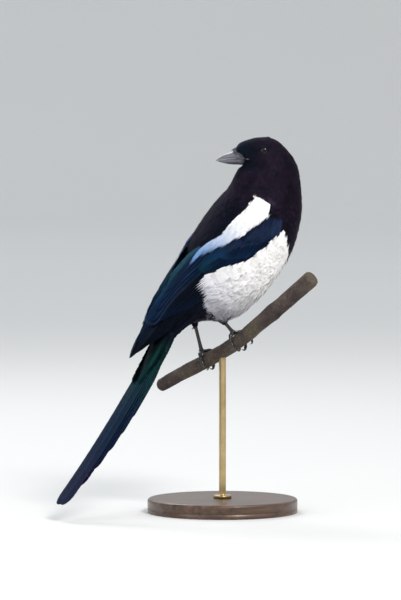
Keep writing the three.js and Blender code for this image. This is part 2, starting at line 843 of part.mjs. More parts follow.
let head = join([above(whole, CUT_HEAD), ...nasalBristles(), ...[-1, 1].map(lidRing)]);
for (const side of [-1, 1]) head = head.subtract(eyeBall(side, GAP)).subtract(gapeGroove(side));
head = head.subtract(billSolid(UPPER_BILL, GAP)).subtract(billSolid(LOWER_BILL, GAP));
add("head", plain(head), BLACK_PLUMAGE);
add("bill_upper", billSolid(UPPER_BILL, 0), BILL_HORN);
add("bill_lower", billSolid(LOWER_BILL, 0), BILL_HORN);
add("eye_right", eyeBall(-1, 0), EYE_GLASS);
add("eye_left", eyeBall(1, 0), EYE_GLASS);
add("neck", plain(above(below(whole, CUT_HEAD), CUT_NECK)), BLACK_PLUMAGE);
add("torso", plain(below(whole, CUT_NECK)), WHITE_PLUMAGE);
add("tail", plain(tailSolid().subtract(grown)), TAIL_PLUMAGE);

for (const [name, side] of Object.entries(SIDES)) {
  add("wing_" + name, plain(wingSolid(side).subtract(grown)), BLUE_PLUMAGE);
  add("thigh_" + name, largest(sockSolid(name).subtract(grown)), BLACK_PLUMAGE);
  add("leg_" + name, plain(legSolid(name).subtract(grown)), LEG_SCALE);
  for (const toe of TOES) add("claw_" + name + "_" + toe.name, clawSolid(name, toe), CLAW_HORN);
}
add("perch_branch", plain(perchSolid().subtract(rodSolid(GAP))), BARK_BROWN);
add("stand_rod", rodSolid(0), STAND_METAL);
add("stand_base", baseSolid().subtract(rodSolid(GAP)), STAND_WOOD);

export default bird;
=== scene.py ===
# A Eurasian magpie that looks back over its left shoulder, on a cut branch held by a display
# stand. Skin, feathers, bill, eyes, legs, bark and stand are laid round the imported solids.
# Shapes are worked out in millimetres in the frame of the solids and stored in metres.

import math

import bpy
import numpy as np
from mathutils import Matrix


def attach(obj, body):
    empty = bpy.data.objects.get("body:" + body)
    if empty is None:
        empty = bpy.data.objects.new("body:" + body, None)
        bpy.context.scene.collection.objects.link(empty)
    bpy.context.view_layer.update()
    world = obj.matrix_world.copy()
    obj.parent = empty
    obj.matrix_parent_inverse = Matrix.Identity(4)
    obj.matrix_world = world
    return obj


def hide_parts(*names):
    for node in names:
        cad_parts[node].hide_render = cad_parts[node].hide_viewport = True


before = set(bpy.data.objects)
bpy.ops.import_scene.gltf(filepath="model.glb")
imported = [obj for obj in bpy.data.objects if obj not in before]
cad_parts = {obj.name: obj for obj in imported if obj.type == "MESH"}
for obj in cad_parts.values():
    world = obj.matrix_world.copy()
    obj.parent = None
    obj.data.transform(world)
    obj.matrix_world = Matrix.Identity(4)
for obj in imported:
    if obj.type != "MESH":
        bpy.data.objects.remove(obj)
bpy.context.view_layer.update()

MM = 0.001
draw = np.random.default_rng(11)


def figures(*rows):
    """Rows of figures as an array."""
    return np.array(rows, float)


# The body's middle line from the tail root to the crown: x, z, then the reach to the back, to the
# belly and to each side.
TRUNK = figures(
    (-62.6, 181.6, 9, 8, 12), (-50.4, 196, 18, 12, 20), (-35, 210.8, 28, 25, 30.5),
    (-17.8, 224.4, 37, 41.5, 39), (-0.1, 240.2, 45.5, 46, 43), (16.9, 260.2, 48.5, 48.5, 44),
    (32, 281.4, 47.5, 48.3, 42), (42.5, 300.5, 43.4, 44.6, 37), (48.5, 318, 37.6, 39.9, 33),
    (53.3, 338, 32.5, 32, 28), (54, 352, 25, 25, 22), (53.8, 365, 15, 15, 14), (52, 373, 4, 4, 4)
)
# The outer surface of the folded wings, from the shoulder to the tips, in the same columns.
FOLDED = figures(
    (42.5, 300.5, 43.4, 47.6, 37.5), (32, 281.4, 47.5, 48.3, 42), (16.9, 260.2, 48.5, 48.5, 44),
    (-0.1, 240.2, 46, 46, 43), (-18.1, 224.6, 41.4, 41.4, 38.5), (-36, 211.5, 34.5, 34, 31.5),
    (-53.8, 198.3, 27, 26, 25), (-69, 183.3, 20.5, 20, 20.5), (-84.5, 168.6, 14, 13, 16.5),
    (-98.6, 153, 8.5, 7, 12)
)
# How far down from the back, in degrees, a folded wing starts and ends at each row of FOLDED.
WING_REACH = figures((62, 92), (50, 100), (42, 92), (30, 82), (16, 74), (10, 68), (6, 64), (6, 60))
# The head along its own forward line: place on it, top, bottom and reach to each side.
HEAD = figures(
    (-27, 355, 350, 3), (-22, 361.5, 342, 11.5), (-13, 369.8, 336, 17), (-2, 374, 334, 18.6),
    (9, 374, 337, 17.4), (17, 372, 343.5, 13.8), (21.5, 370.4, 350.5, 11), (26, 368, 353.4, 8.6),
    (30.5, 362.8, 355.2, 6)
)
HEAD_TURN = math.radians(152)
HEAD_MIDDLE = np.array([49.4, 2.35, 0])
FORWARD = np.array([math.cos(HEAD_TURN), math.sin(HEAD_TURN), 0])
HEAD_LEFT = np.array([-math.sin(HEAD_TURN), math.cos(HEAD_TURN), 0])
UP = np.array([0.0, 0.0, 1.0])

# Halves of the bill: place, ridge, mouth line and reach to each side.
UPPER_BILL = figures(
    (17, 364, 352, 7), (27, 362, 353.2, 6.6), (34, 359.2, 353, 5), (41, 356.9, 352.3, 3.4),
    (46, 353.8, 351, 1.9), (49.2, 350.6, 349.9, 0.5)
)
LOWER_BILL = figures(
    (13, 347.5, 351, 6.6), (20, 346.7, 352.6, 6.4), (27, 346.5, 353.2, 5.8), (35, 346.9, 352.8, 4.4),
    (42, 348.3, 351.9, 2.6), (47, 349.7, 350.7, 0.8)
)
MOUTH_GAP = 0.3
EYE = dict(h=1, z=360.6, out=12.9, radius=5.6)
LID_REACH = 4.1  # from the eye's middle to the first feathers

# Tail: a curve from the body's end, and its feathers from the middle pair outwards, each with the
# length that shows, its middle and its half width.
TAIL_START = np.array([-63, 0, 181])
TAIL_PITCH = (60, 50.5)  # degrees below level at its root and at its tip
TAIL_LENGTH = 203
TAIL_SUNK = 6  # first millimetres of its feathers, inside the body
TAIL_FEATHERS = [
    (203, 4.6, 10.4), (180, 6.6, 10.6), (158, 9.6, 9.4), (137, 11.2, 9.6), (117, 12, 9.6), (96, 12.6, 9.4)
]

# Perch, grips and legs. BARK is the branch's radius under the feet, and each row of PERCH is its
# middle line's x, y and z and its radius.
BARK = 7.4
PERCH = figures(
    (-28, 80.5, 122.5, 6.7), (-17.5, 50, 137.5, 7.2), (-6.9, 20, 151, BARK), (7, -20, 171.5, BARK),
    (17, -51, 193, 7.9), (28.5, -81, 215, 8.1), (40, -110, 237.5, 8.5)
)
SIDES = {"right": -1, "left": 1}
GRIP = {"right": PERCH[3, :3], "left": PERCH[2, :3]}
ANKLE = {"right": np.array([-27.2, -16, 213]), "left": np.array([-26.9, 16, 203])}
# Feathered top of each leg: its length below the ankle's point, its first and last radius, and how
# far it starts inside the body. TARSUS is the bare leg's radius.
SOCK = {"right": 30, "left": 17}
SOCK_TOP = 10.5
SOCK_END = 3
SOCK_SUNK = 14
TARSUS = 1.75
# Toes: degrees round the branch, millimetres sideways, radius, and the claw's degrees beyond.
TOES = {
    "inner": dict(sweep=118, splay=-9, radius=1.9, claw=40),
    "middle": dict(sweep=148, splay=0.5, radius=2.1, claw=42),
    "outer": dict(sweep=118, splay=9.5, radius=1.8, claw=40),
    "hind": dict(sweep=-100, splay=-1, radius=2.2, claw=-62),
}

# Stand, with the rod's length inside the base
BASE_RADIUS = 75
BASE_HEIGHT = 14
ROD_RADIUS = 3.5
ROD_SUNK = 9.5
FLANGE = (9, 3)  # its radius and height

# Camera and floor
CAMERA_AZIMUTH = -28  # degrees
CAMERA_RISE = 3
CAMERA_AWAY = 4.0  # metres
FRAME_WIDTH = 0.401  # the photo's 401 pixels, at one millimetre each
FRAME_MIDDLE = (-0.022, 0.212)  # of the picture, right of and above the origin
FLOOR_RADIUS = 9.0


# Smooth lines and frames


def along(table, place):
    """Every column of a table at real-valued rows, on a Catmull-Rom curve through the rows."""
    place = np.asarray(place, float)
    last = len(table) - 1
    first = np.clip(np.floor(place).astype(int), 0, last - 1)
    t = (place - first)[..., None]
    a, b, c, d = (table[np.clip(first + k, 0, last)] for k in (-1, 0, 1, 2))
    curve = 2 * b + (c - a) * t + (2 * a - 5 * b + 4 * c - d) * t**2 + (3 * b - a - 3 * c + d) * t**3
    return 0.5 * curve


def turns(count):
    """Angles of a full turn in equal steps."""
    return np.linspace(0, 2 * np.pi, count, endpoint=False)


def unit(v):
    """The vectors of the last axis at length one."""
    return v / np.maximum(np.linalg.norm(v, axis=-1, keepdims=True), 1e-9)


def smooth(low, high, value):
    """0 below low, 1 above high, and an S-shaped way between them. With low above high it falls."""
    t = np.clip((value - low) / (high - low), 0, 1)
    return t * t * (3 - 2 * t)


def place_of(table, value):
    """Row of a table, as a real number, where its first column has a value."""
    return np.interp(value, table[:, 0], np.arange(len(table)))


def line_way(table, place):
    """Unit direction of a body line's x and z at places, and its millimetres per row."""
    step = along(table, place + 0.05)[..., :2] - along(table, place - 0.05)[..., :2]
    return unit(step), np.linalg.norm(step, axis=-1) / 0.1


def body_point(table, sense, place, angle, grow=0.0):
    """A point on the half ellipses round a body line: out from its middle by reach * cos(angle)
    to the back and side * sin(angle) to the left. sense is 1 for a line that runs to the head."""
    x, z, up, down, side = np.moveaxis(along(table, place), -1, 0)
    way, _ = line_way(table, place)
    reach = (np.where(np.cos(angle) > 0, up, down) + grow) * np.cos(angle) * sense
    return np.stack([x - way[..., 1] * reach, (side + grow) * np.sin(angle), z + way[..., 0] * reach], -1)


def head_section(h):
    """Row of HEAD and half height of the head at places on its forward line."""
    row = along(HEAD, place_of(HEAD, h))
    return row, (row[..., 1] - row[..., 2]) / 2


def head_point(h, out, z):
    """A point in the head's own directions: forward, to its left, and up."""
    h, out, z = np.broadcast_arrays(h, out, z)
    plain = np.broadcast_to(HEAD_MIDDLE, (*h.shape, 3)) + z[..., None] * UP
    return plain + h[..., None] * FORWARD + out[..., None] * HEAD_LEFT


# The skin as a smooth union of solids


def ellipsoidal(offset, reaches):
    """Distance from a point to an ellipsoid along the ray from its middle."""
    rho = np.maximum(np.sqrt(np.sum((offset / reaches) ** 2, -1)), 1e-3)
    return np.linalg.norm(offset, axis=-1) * (1 - 1 / rho)


TRUNK_ROWS = np.linspace(0, len(TRUNK) - 1, 181)


def trunk_place(points):
    """Row of the body line next to each point, and the angle of the point round it from the back."""
    middle = along(TRUNK, TRUNK_ROWS)[:, :2]
    gap = (points[:, None, 0] - middle[:, 0]) ** 2 + (points[:, None, 2] - middle[:, 1]) ** 2
    place = TRUNK_ROWS[np.argmin(gap, 1)]
    way, speed = line_way(TRUNK, place)
    slip = np.sum((points[:, [0, 2]] - along(TRUNK, place)[:, :2]) * way, 1) / speed
    place = np.clip(place + np.clip(slip, -0.04, 0.04), 0, len(TRUNK) - 1)
    way, _ = line_way(TRUNK, place)
    offset = points[:, [0, 2]] - along(TRUNK, place)[:, :2]
    back = offset[:, 1] * way[:, 0] - offset[:, 0] * way[:, 1]
    ahead = np.sum(offset * way, 1)
    return place, np.arctan2(points[:, 1], back), np.stack([back, points[:, 1], ahead], 1)


def trunk_gap(points):
    """Distance to the body's surface, below 0 inside it."""
    place, _, offset = trunk_place(points)
    row = along(TRUNK, place)
    reach = np.where(offset[:, 0] > 0, row[:, 2], row[:, 3])
    sunk = 4 * smooth(9.4, 11.4, place)
    return ellipsoidal(offset, np.stack([reach, row[:, 4], row[:, 4]], 1)) + sunk


def head_gap(points):
    """Distance to the head's surface, below 0 inside it."""
    offset = points - HEAD_MIDDLE
    h = offset @ FORWARD
    row, tall = head_section(h)
    inside = np.clip(h, HEAD[0, 0], HEAD[-1, 0])
    local = np.stack([h - inside, offset @ HEAD_LEFT, points[:, 2] - row[:, 1] + tall], 1)
    cap = np.where(h < 0, 0.8, 4.0)
    return ellipsoidal(local, np.stack([cap, row[:, 3], tall], 1))


def leg_frame(side):
    """Ankle, foot, unit way from one to the other and the length between them."""
    foot = grip_point(side, -4.0, 3.7, 0.0)
    way = foot - ANKLE[side]
    return ANKLE[side], foot, unit(way), np.linalg.norm(way)


def sock_rings(side, t):
    """Middle and radius of the feathered top of a leg at shares of its length: a cone that starts
    inside the body and whose radius falls as length ** 1.3."""
    ankle, _, way, _ = leg_frame(side)
    middle = ankle + way * (t * (SOCK[side] + SOCK_SUNK) - SOCK_SUNK)[..., None]
    return middle, SOCK_TOP + (SOCK_END - SOCK_TOP) * t**1.3


def sock_gap(points, side):
    """Distance to the feathered top of a leg."""
    ankle, _, way, _ = leg_frame(side)
    t = np.clip(((points - ankle) @ way + SOCK_SUNK) / (SOCK[side] + SOCK_SUNK), 0, 1)
    middle, radius = sock_rings(side, t)
    return np.linalg.norm(points - middle, axis=1) - radius


BLEND = 2.2  # millimetres over which the parts of the body run into each other


def skin_gap(points):
    """Distance to the whole body: the smooth least value of the distances to its parts."""
    parts = [trunk_gap(points), head_gap(points), *(sock_gap(points, side) for side in SIDES)]
    return -BLEND * np.log(np.sum(np.exp(-np.clip(np.array(parts), -60, 60) / BLEND), 0))


def settle(points, height, steps=3):
    """Moves points to a height over the body's surface along its slope, by Newton's steps, and
    gives the points and the outward normals."""
    shape = points.shape
    flat = points.reshape(-1, 3).astype(float)
    height = np.broadcast_to(height, shape[:-1]).reshape(-1)
    reach = 0.25
    for _ in range(steps):
        here = skin_gap(flat)
        slope = np.stack([skin_gap(flat + reach * axis) - here for axis in np.eye(3)], 1) / reach
        steep = np.maximum(np.sum(slope**2, 1), 0.15)
        flat = flat - ((here - height) / steep)[:, None] * slope
    return flat.reshape(shape), unit(slope).reshape(shape)


# Markings


RUMP_X, RUMP_Z = -36.8, 202
AXIS_X, AXIS_Z = 0.648, 0.7615
AXIS_SCALE = 0.9525


def axial(points):
    """Millimetres along the body's axis, forward from the rump."""
    return AXIS_SCALE * ((points[..., 0] - RUMP_X) * AXIS_X + (points[..., 2] - RUMP_Z) * AXIS_Z)


# Edges of the white in front and behind: degrees down from the back, millimetres along the axis.
BIB_EDGE = figures((0, 122), (60, 118), (90, 107), (104, 102.5), (117, 100.5), (149, 99), (180, 98))
FLANK_EDGE = figures((0, 60), (52, 40), (57, 25), (60, 18), (99, 9), (120, 5), (180, 3))


def whiteness(points):
    """1 on the white belly and flanks, 0 on the black head, mantle, breast and vent."""
    _, angle, _ = trunk_place(points.reshape(-1, 3))
    angle = np.degrees(np.abs(angle)).reshape(points.shape[:-1])
    s = axial(points)
    front = np.interp(angle, BIB_EDGE[:, 0], BIB_EDGE[:, 1])
    rear = np.interp(angle, FLANK_EDGE[:, 0], FLANK_EDGE[:, 1])
    return ((s < front) & (s > rear) & (angle > 50) & (points[..., 2] < 345)).astype(float)


def wing_cover(place, angle):
    """1 where the folded wing lies over the body, for rows of TRUNK and angles in radians."""
    row = np.clip(7 - place, 0, len(WING_REACH) - 1)
    reach = along(WING_REACH, row)
    down = np.degrees(np.abs(angle))
    inside = smooth(reach[..., 0], reach[..., 0] + 4, down)
    inside = inside * (1 - smooth(reach[..., 1] - 8, reach[..., 1], down))
    return inside * smooth(0.1, 0.6, 7 - place) * (1 - smooth(6.6, 7, 7 - place))


def head_share(points):
    """1 over the head, 0 from the neck down."""
    return smooth(330, 347, points[..., 2])


BLACK = np.array([0.006, 0.008, 0.017])
VIOLET = np.array([0.019, 0.012, 0.024])
CROWN = np.array([0.010, 0.020, 0.033])
WHITE = np.array([0.84, 0.83, 0.82])
# The lavender grey below is painted shade, laid low on the white belly and flanks.
PAINTED_SHADE = np.array([0.40, 0.40, 0.47])
# The next grey paints the sheen of the black nasal bristles.
BRISTLE_SHEEN = np.array([0.25, 0.24, 0.29])
PUPIL = np.array([0.001, 0.001, 0.001])
IRIS = np.array([0.020, 0.009, 0.004])


def blend(a, b, share):
    """From colour a to colour b by a share of any shape."""
    return a + (b - a) * np.asarray(share)[..., None]


def face_share(points, back, front, low, high):
    """0 behind the place back on the head's forward line or below a height, 1 past front and high."""
    return smooth(back, front, (points - HEAD_MIDDLE) @ FORWARD) * smooth(low, high, points[..., 2])


def black_tint(points):
    """Black plumage: violet on nape, neck and breast, green-blue over the forehead and crown."""
    face = face_share(points, 0, 26, 335, 350)
    x, y, z = np.moveaxis(points, -1, 0)
    drift = 0.75 + 0.25 * np.sin(x * 0.21 + 1.0) * np.sin(z * 0.17 + y * 0.2)
    violet = smooth(92, 125, axial(points)) * (1 - face) * drift
    return blend(blend(BLACK, VIOLET, violet), CROWN, face * 0.8)


def white_with_painted_shade(points):
    """White plumage, with painted shade in lavender grey low down."""
    return blend(WHITE, PAINTED_SHADE, smooth(62, 2, axial(points)) * 0.85)


def body_tint(points):
    """The coat's colour at points: white belly and flanks with painted shade low down, black elsewhere."""
    return blend(black_tint(points), white_with_painted_shade(points), whiteness(points))


# Meshes


def new_object(name, points, faces, tint=None, vane=None, patch=None):
    """A mesh object at the origin from points in millimetres, faces as rows of vertex numbers, a
    colour for each vertex, and per-vertex maps of the vane and of the bake."""
    points = np.asarray(points, float).reshape(-1, 3)
    faces = np.asarray(faces, int)
    mesh = bpy.data.meshes.new(name)
    mesh.vertices.add(len(points))
    mesh.vertices.foreach_set("co", (points * MM).astype(np.float32).ravel())
    sides = faces.shape[1]
    mesh.loops.add(faces.size)
    mesh.loops.foreach_set("vertex_index", faces.ravel().astype(np.int32))
    mesh.polygons.add(len(faces))
    mesh.polygons.foreach_set("loop_start", (np.arange(len(faces)) * sides).astype(np.int32))
    for key, values in (("vane", vane), ("OFBake", patch)):
        if values is not None:
            layer = mesh.uv_layers.new(name=key)
            layer.data.foreach_set("uv", values.reshape(-1, 2)[faces.ravel()].astype(np.float32).ravel())
    if tint is not None:
        colour = np.ones((len(points), 4), np.float32)
        colour[:, :3] = np.asarray(tint).reshape(-1, 3)
        mesh.color_attributes.new("tint", "FLOAT_COLOR", "POINT").data.foreach_set("color", colour.ravel())
    mesh.update(calc_edges=True)
    mesh.validate()
    mesh.polygons.foreach_set("use_smooth", np.ones(len(mesh.polygons), bool))
    piece = bpy.data.objects.new(name, mesh)
    bpy.context.scene.collection.objects.link(piece)
    return piece


def finish_piece(piece, material, slot, *nodes):
    """Gives a piece its material and its body, and hides the solids it stands for. The slot is not used."""
    piece.data.materials.append(material)
    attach(piece, "root")
    if nodes:
        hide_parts(*nodes)
    return piece


def ring_faces(rows, around):
    """Quads of a grid of rows that close on themselves, outward when the rings run anticlockwise
    seen from the far end."""
    i, j = np.meshgrid(np.arange(rows - 1), np.arange(around), indexing="ij")
    k = (j + 1) % around
    quad = np.stack([i * around + j, i * around + k, (i + 1) * around + k, (i + 1) * around + j], -1)
    return quad.reshape(-1, 4)


def triangles(quads):
    """Each quad as two triangles."""
    return np.concatenate([quads[:, [0, 1, 2]], quads[:, [0, 2, 3]]])


def closed_tube(rings):
    """Points and triangles of rings joined in order, with a fan over each end. Faces are turned
    outward by the sign of the volume."""
    rows, around = rings.shape[:2]
    points = np.concatenate([rings.reshape(-1, 3), rings[0].mean(0)[None], rings[-1].mean(0)[None]])
    j = np.arange(around)
    k = (j + 1) % around
    first, last = rows * around, (rows - 1) * around
    low = np.stack([np.full(around, first), k, j], 1)
    high = np.stack([np.full(around, first + 1), j + last, k + last], 1)
    faces = np.concatenate([triangles(ring_faces(rows, around)), low, high])
    a, b, c = (points[faces[:, n]] for n in range(3))
    if np.sum(a * np.cross(b, c)) < 0:
        faces = faces[:, ::-1]
    return points, faces


def join_shapes(shapes):
    """Several (points, faces) as one."""
    start = np.cumsum([0] + [len(points) for points, _ in shapes])
    faces = [faces + first for (_, faces), first in zip(shapes, start)]
    return np.concatenate([points for points, _ in shapes]), np.concatenate(faces)


def tubes_piece(name, tubes, material, slot, *nodes, tint=None):
    """One finished piece of closed tubes, given as rings. Tint gives their colour at points."""
    points, faces = join_shapes([closed_tube(rings) for rings in tubes])
    piece = new_object(name, points, faces, tint(points) if tint else None)
    return finish_piece(piece, material, slot, *nodes)


def sweep(line, radii, around, across=None):
    """Rings round a line of points: each ring's own vectors are carried on from the last, so the
    tube does not twist. radii is one value or a row of them for each point."""
    way = unit(np.gradient(line, axis=0))
    side = np.zeros_like(line)
    last = np.array([0.3, 0.2, 1.0]) if across is None else np.asarray(across, float)
    for i, w in enumerate(way):
        last = unit(last - w * (last @ w))
        side[i] = last
    other = np.cross(way, side)
    angle = turns(around)
    radii = np.asarray(radii, float)
    radii = radii[:, None] if radii.ndim == 1 else radii
    circle = side[:, None] * np.cos(angle)[None, :, None] + other[:, None] * np.sin(angle)[None, :, None]
    return line[:, None] + circle * radii[..., None]


# Feather shapes: places across (-1 to 1) and along (0 to 1) of a feather, lift off it, and how
# free each vertex is to stray.


def fringed(strips, rows, whole, curl):
    """A soft feather cut into barbs: strips side by side that hold together for the share whole of
    its length, then each runs out to a point of its own, the middle ones furthest."""
    edges = np.linspace(-1, 1, strips + 1)
    sides = np.stack([edges[:-1], edges[1:]], 1)
    mid, half = sides.mean(1), 0.3 * (edges[1:] - edges[:-1])
    rises = np.linspace(0, whole, rows)
    width = 0.4 + 0.6 * np.sin(np.pi / 2 * np.minimum(rises / 0.5, 1))
    tip = 1 - 0.42 * mid**2 - 0.06 * (np.arange(strips) % 2)
    neck = whole + (tip - whole) * 0.55
    whole_u = (sides[:, None] * width[:, None]).reshape(strips, -1)
    u = np.concatenate([whole_u, np.stack([mid - half, mid + half, mid * 0.92], 1)], 1).ravel()
    whole_v = np.tile(np.repeat(rises, 2), (strips, 1))
    v = np.concatenate([whole_v, np.stack([neck, neck, tip], 1)], 1).ravel()
    p = 2 * np.arange(rows)
    strip = np.stack([p, p + 1, p + 3, p, p + 3, p + 2], 1).reshape(-1, 3)
    strip = np.concatenate([strip, 2 * rows + np.array([[0, 1, 2]])])
    faces = (strip + (np.arange(strips) * (2 * rows + 3))[:, None, None]).reshape(-1, 3)
    free = np.tile([0.0] * 2 * rows + [0.45, 0.45, 1.0], strips)
    return dict(u=u, v=v, lift=curl * v**3, free=free, faces=faces)


def bladed(rows, tip, root, thick, taper=0.5):
    """A flight feather: a thin closed vane with a raised shaft, its half width from root grows to
    full at a third of its length and falls off after the share tip: round with a taper of 0.5,
    more pointed above that."""
    across = np.array([-1, -0.72, -0.4, -0.12, -0.045, 0, 0.045, 0.12, 0.4, 0.72, 1])
    v = 1 - (1 - np.linspace(0, 1, rows)) ** 1.35
    width = root + (1 - root) * np.sin(np.pi / 2 * np.minimum(v / 0.3, 1))
    end = np.maximum(1 - (np.maximum(v - tip, 0) / (1.001 - tip)) ** 2, 0) ** taper
    width = width * np.maximum(end, 0.04)
    ragged = 1 - 0.03 * (np.arange(rows) % 3 == 1) * (v > 0.3)
    u = across * width[:, None] * np.where(np.abs(across) > 0.9, ragged[:, None], 1)
    shaft = 0.42 * np.exp(-((across / 0.06) ** 2)) * (1 - 0.85 * v[:, None])
    count = len(across)
    i, j = (n.ravel() for n in np.meshgrid(np.arange(rows - 1), np.arange(count - 1), indexing="ij"))
    corner = i * count + j
    quad = np.stack([corner, corner + 1, corner + count + 1, corner + count], 1)
    grid = np.arange(rows * count).reshape(rows, count)
    rim = np.concatenate([grid[::-1, 0], grid[0, 1:], grid[1:, -1], grid[-1, -2:0:-1]])
    turn = np.roll(rim, -1)
    wall = np.stack([turn, rim, rim + rows * count, turn + rows * count], 1)
    faces = triangles(np.concatenate([quad, quad[:, ::-1] + rows * count, wall]))
    lift = np.concatenate([shaft.ravel(), np.full(u.size, -thick)])
    v = np.tile(np.repeat(v, count), 2)
    return dict(u=np.tile(u.ravel(), 2), v=v, lift=lift, free=np.zeros(2 * u.size), faces=faces)


# Size of a small feather's patch on the bake's unwrap
TUFT_PATCH = (0.003, 0.003)


def lay(name, shape, feathers, tint, bow=0.0, stray=0.0, skew=0.0, cell=TUFT_PATCH):
    """Feathers of one shape over their middle lines. A vertex sits at the middle line's point for
    its place along, plus its place across times the half width, plus its lift, less the bow times
    the square of its distance from the shaft. feathers holds all their middle lines, normals, half
    widths and roots. Tint is a function of middle line points, across and along. Roots are the
    places of the feathers on the bake's unwrap, and cell the size of each one's patch there."""
    middles, normals, widths, roots = (np.array(part) for part in feathers)
    n, knots = middles.shape[:2]
    way = unit(np.gradient(middles, axis=1))
    side = unit(np.cross(normals, way))
    spot = np.clip(shape["v"], 0, 1) * (knots - 1)
    low = np.clip(np.floor(spot).astype(int), 0, knots - 2)
    share = (spot - low)[None, :, None]
    at = lambda field: field[:, low] * (1 - share) + field[:, low + 1] * share
    middle, normal, across = at(middles), unit(at(normals)), unit(at(side))
    u = shape["u"][None] + skew * (1 - np.abs(shape["u"][None]))
    out = u * widths[:, None]
    wander = draw.normal(size=(n, len(shape["v"]), 2)) * stray * shape["free"][None, :, None]
    lift = shape["lift"][None] - bow * out**2 + np.abs(wander[..., 0])
    points = middle + across * (out + wander[..., 1])[..., None] + normal * lift[..., None]
    shown = tint(middle, shape["u"][None], shape["v"][None]) * (1 + 0.08 * draw.normal(size=(n, 1, 1)))
    count = len(shape["v"])
    faces = (shape["faces"][None] + (np.arange(n) * count)[:, None, None]).reshape(-1, 3)
    vane = np.stack(np.broadcast_arrays(shape["u"] * 0.5 + 0.5, shape["v"]), -1)
    vane = np.broadcast_to(vane, (n, count, 2))
    patch = roots[:, None] + np.array(cell) * (vane - 0.5)
    return new_object(name, points, faces, np.broadcast_to(shown, points.shape), vane, patch)


# Body coat


def coat_size(place):
    """Length of the small feathers at rows of TRUNK, in millimetres."""
    return np.interp(place, [0, 1, 2.5, 4, 6, 7.5, 9, 10.5, 12], [18, 20, 23, 22, 19, 15, 10, 7, 6])


def coat_rows(place, end, measure, turn, spacing, wander, slip, step):
    """Rows of small feathers round a form from one place to another, each shifted half a step from
    the last: places, angles and lengths. measure gives a row's feather length, the form's girth
    there and the millimetres per unit of place. The other figures are the first angle's turn, the
    feathers' spacing, their strays round and along the form, and the step to the next row."""
    rows = []
    sense = np.sign(end - place)
    while sense * place < sense * end:
        size, girth, speed = measure(place)
        count = max(int(girth / (spacing * size)), 8)
        angle = (np.arange(count) + 0.5 * (len(rows) % 2)) * 2 * np.pi / count - turn
        angle = angle + draw.normal(size=count) * wander / count
        spots = place + draw.normal(size=count) * slip * size / speed
        rows.append((spots, angle, np.full(count, size)))
        place += sense * step * size / speed
    return [np.concatenate(part) for part in zip(*rows)]


def trunk_measure(place):
    """Feather length, girth and millimetres per row at a row of TRUNK."""
    row = along(TRUNK, np.array([place]))[0]
    _, speed = line_way(TRUNK, np.array([place]))
    return float(coat_size(place)), math.pi * (row[2:4].mean() + row[4]), float(speed[0])


def head_measure(h):
    """Feather length and girth at a place on the head's forward line, which is in millimetres."""
    row, tall = head_section(h)
    size = float(np.interp(h, [-26, -8, 8, 20, 29], [8.0, 6.8, 5.2, 4.2, 3.4]))
    return size, math.pi * (tall + row[3]), 1.0


def laid_lines(start, flow, lengths, low, high, knots=5):
    """Middle lines that start on the body's surface, run along the flow and stay at heights that
    rise from low to high: each knot is one step on from the last, settled again."""
    points, normals = settle(start, low, 3)
    lines, outs = [points], [normals]
    way = flow
    for k in range(1, knots):
        way = unit(way - normals * np.sum(way * normals, -1, keepdims=True))
        points = points + way * (lengths / (knots - 1))[:, None]
        t = k / (knots - 1)
        points, normals = settle(points, low + (high - low) * t, 2)
        lines.append(points)
        outs.append(normals)
    return np.stack(lines, 1), np.stack(outs, 1)


def trunk_flow(place):
    """The way the coat lies: down the body line towards the tail."""
    way, _ = line_way(TRUNK, place)
    return np.stack([-way[:, 0], np.zeros(len(place)), -way[:, 1]], 1)


def eye_clear(points, reach):
    """True for points further than reach from both eyes, seen from the side of the head."""
    offset = points - HEAD_MIDDLE
    away = np.hypot(offset @ FORWARD - EYE["h"], points[..., 2] - EYE["z"])
    return away > reach


def tinted(points, u, v):
    """The coat's colour, taken near the end of each feather so that it is one colour, darker towards
    the root as painted shade under the feathers before it, and a little lighter at the tip."""
    return body_tint(points[:, -1:]) * (0.9 + 0.2 * v[..., None])


def make_body_coat(black, white):
    """The small feathers of the body, neck and breast, in pieces by colour."""
    place, angle, length = coat_rows(0.15, 11.6, trunk_measure, np.pi, 0.23, 0.6, 0.06, 0.20)
    start = body_point(TRUNK, 1, place, angle)
    covered = wing_cover(place, angle) > 0.4
    buried = (head_gap(start) < -0.5) | (place > 10.8)
    under_tail = (place < 0.6) & (np.cos(angle) < 0.3)
    keep = ~covered & ~buried & ~under_tail
    place, angle, length, start = place[keep], angle[keep], length[keep], start[keep]
    _, speed = line_way(TRUNK, place)
    down = np.degrees(np.abs(angle))
    # White where the feather's end lies on the white; those of the sides are longer.
    pale = whiteness(body_point(TRUNK, 1, place - 0.7 * length / speed, angle)) > 0.5
    length = np.where(pale & (down < 110), length * 1.2, length)
    length = length * (1 + 0.08 * draw.normal(size=len(length)))
    flow = trunk_flow(place) + 0.05 * draw.normal(size=(len(place), 3))
    # Breast feathers at the front edge of the wing lie raised over it.
    raised = smooth(50, 60, down) * (1 - smooth(88, 100, down))
    raised = raised * smooth(7.1, 7.35, place) * smooth(8.1, 7.75, place)
    lines, normals = laid_lines(start, flow, length, -0.13 * length, 2.6 * raised - 0.2)
    roots = np.stack([0.02 + 0.96 * (angle / (2 * np.pi) + 0.5), 0.02 + 0.6 * place / 12], 1)
    soft = fringed(12, 2, 0.6, 0.12)
    firm = fringed(7, 3, 0.62, 0.25)
    groups = {
        "coat_belly_white": (pale & (np.abs(angle) > 1.9), soft, white, "plumage_white"),
        "coat_flank_white": (pale & (np.abs(angle) <= 1.9), soft, white, "plumage_white"),
        "coat_body_black": (~pale & (place < 8), firm, black, "plumage_black"),
        "coat_neck_black": (~pale & (place >= 8), firm, black, "plumage_black"),
    }
    for name, (chosen, shape, material, slot) in groups.items():
        feathers = lines[chosen], normals[chosen], 0.3 * length[chosen], roots[chosen]
        piece = lay(name, shape, feathers, tinted, 0.012, 0.3 if shape is soft else 0.12)
        finish_piece(piece, material, slot)


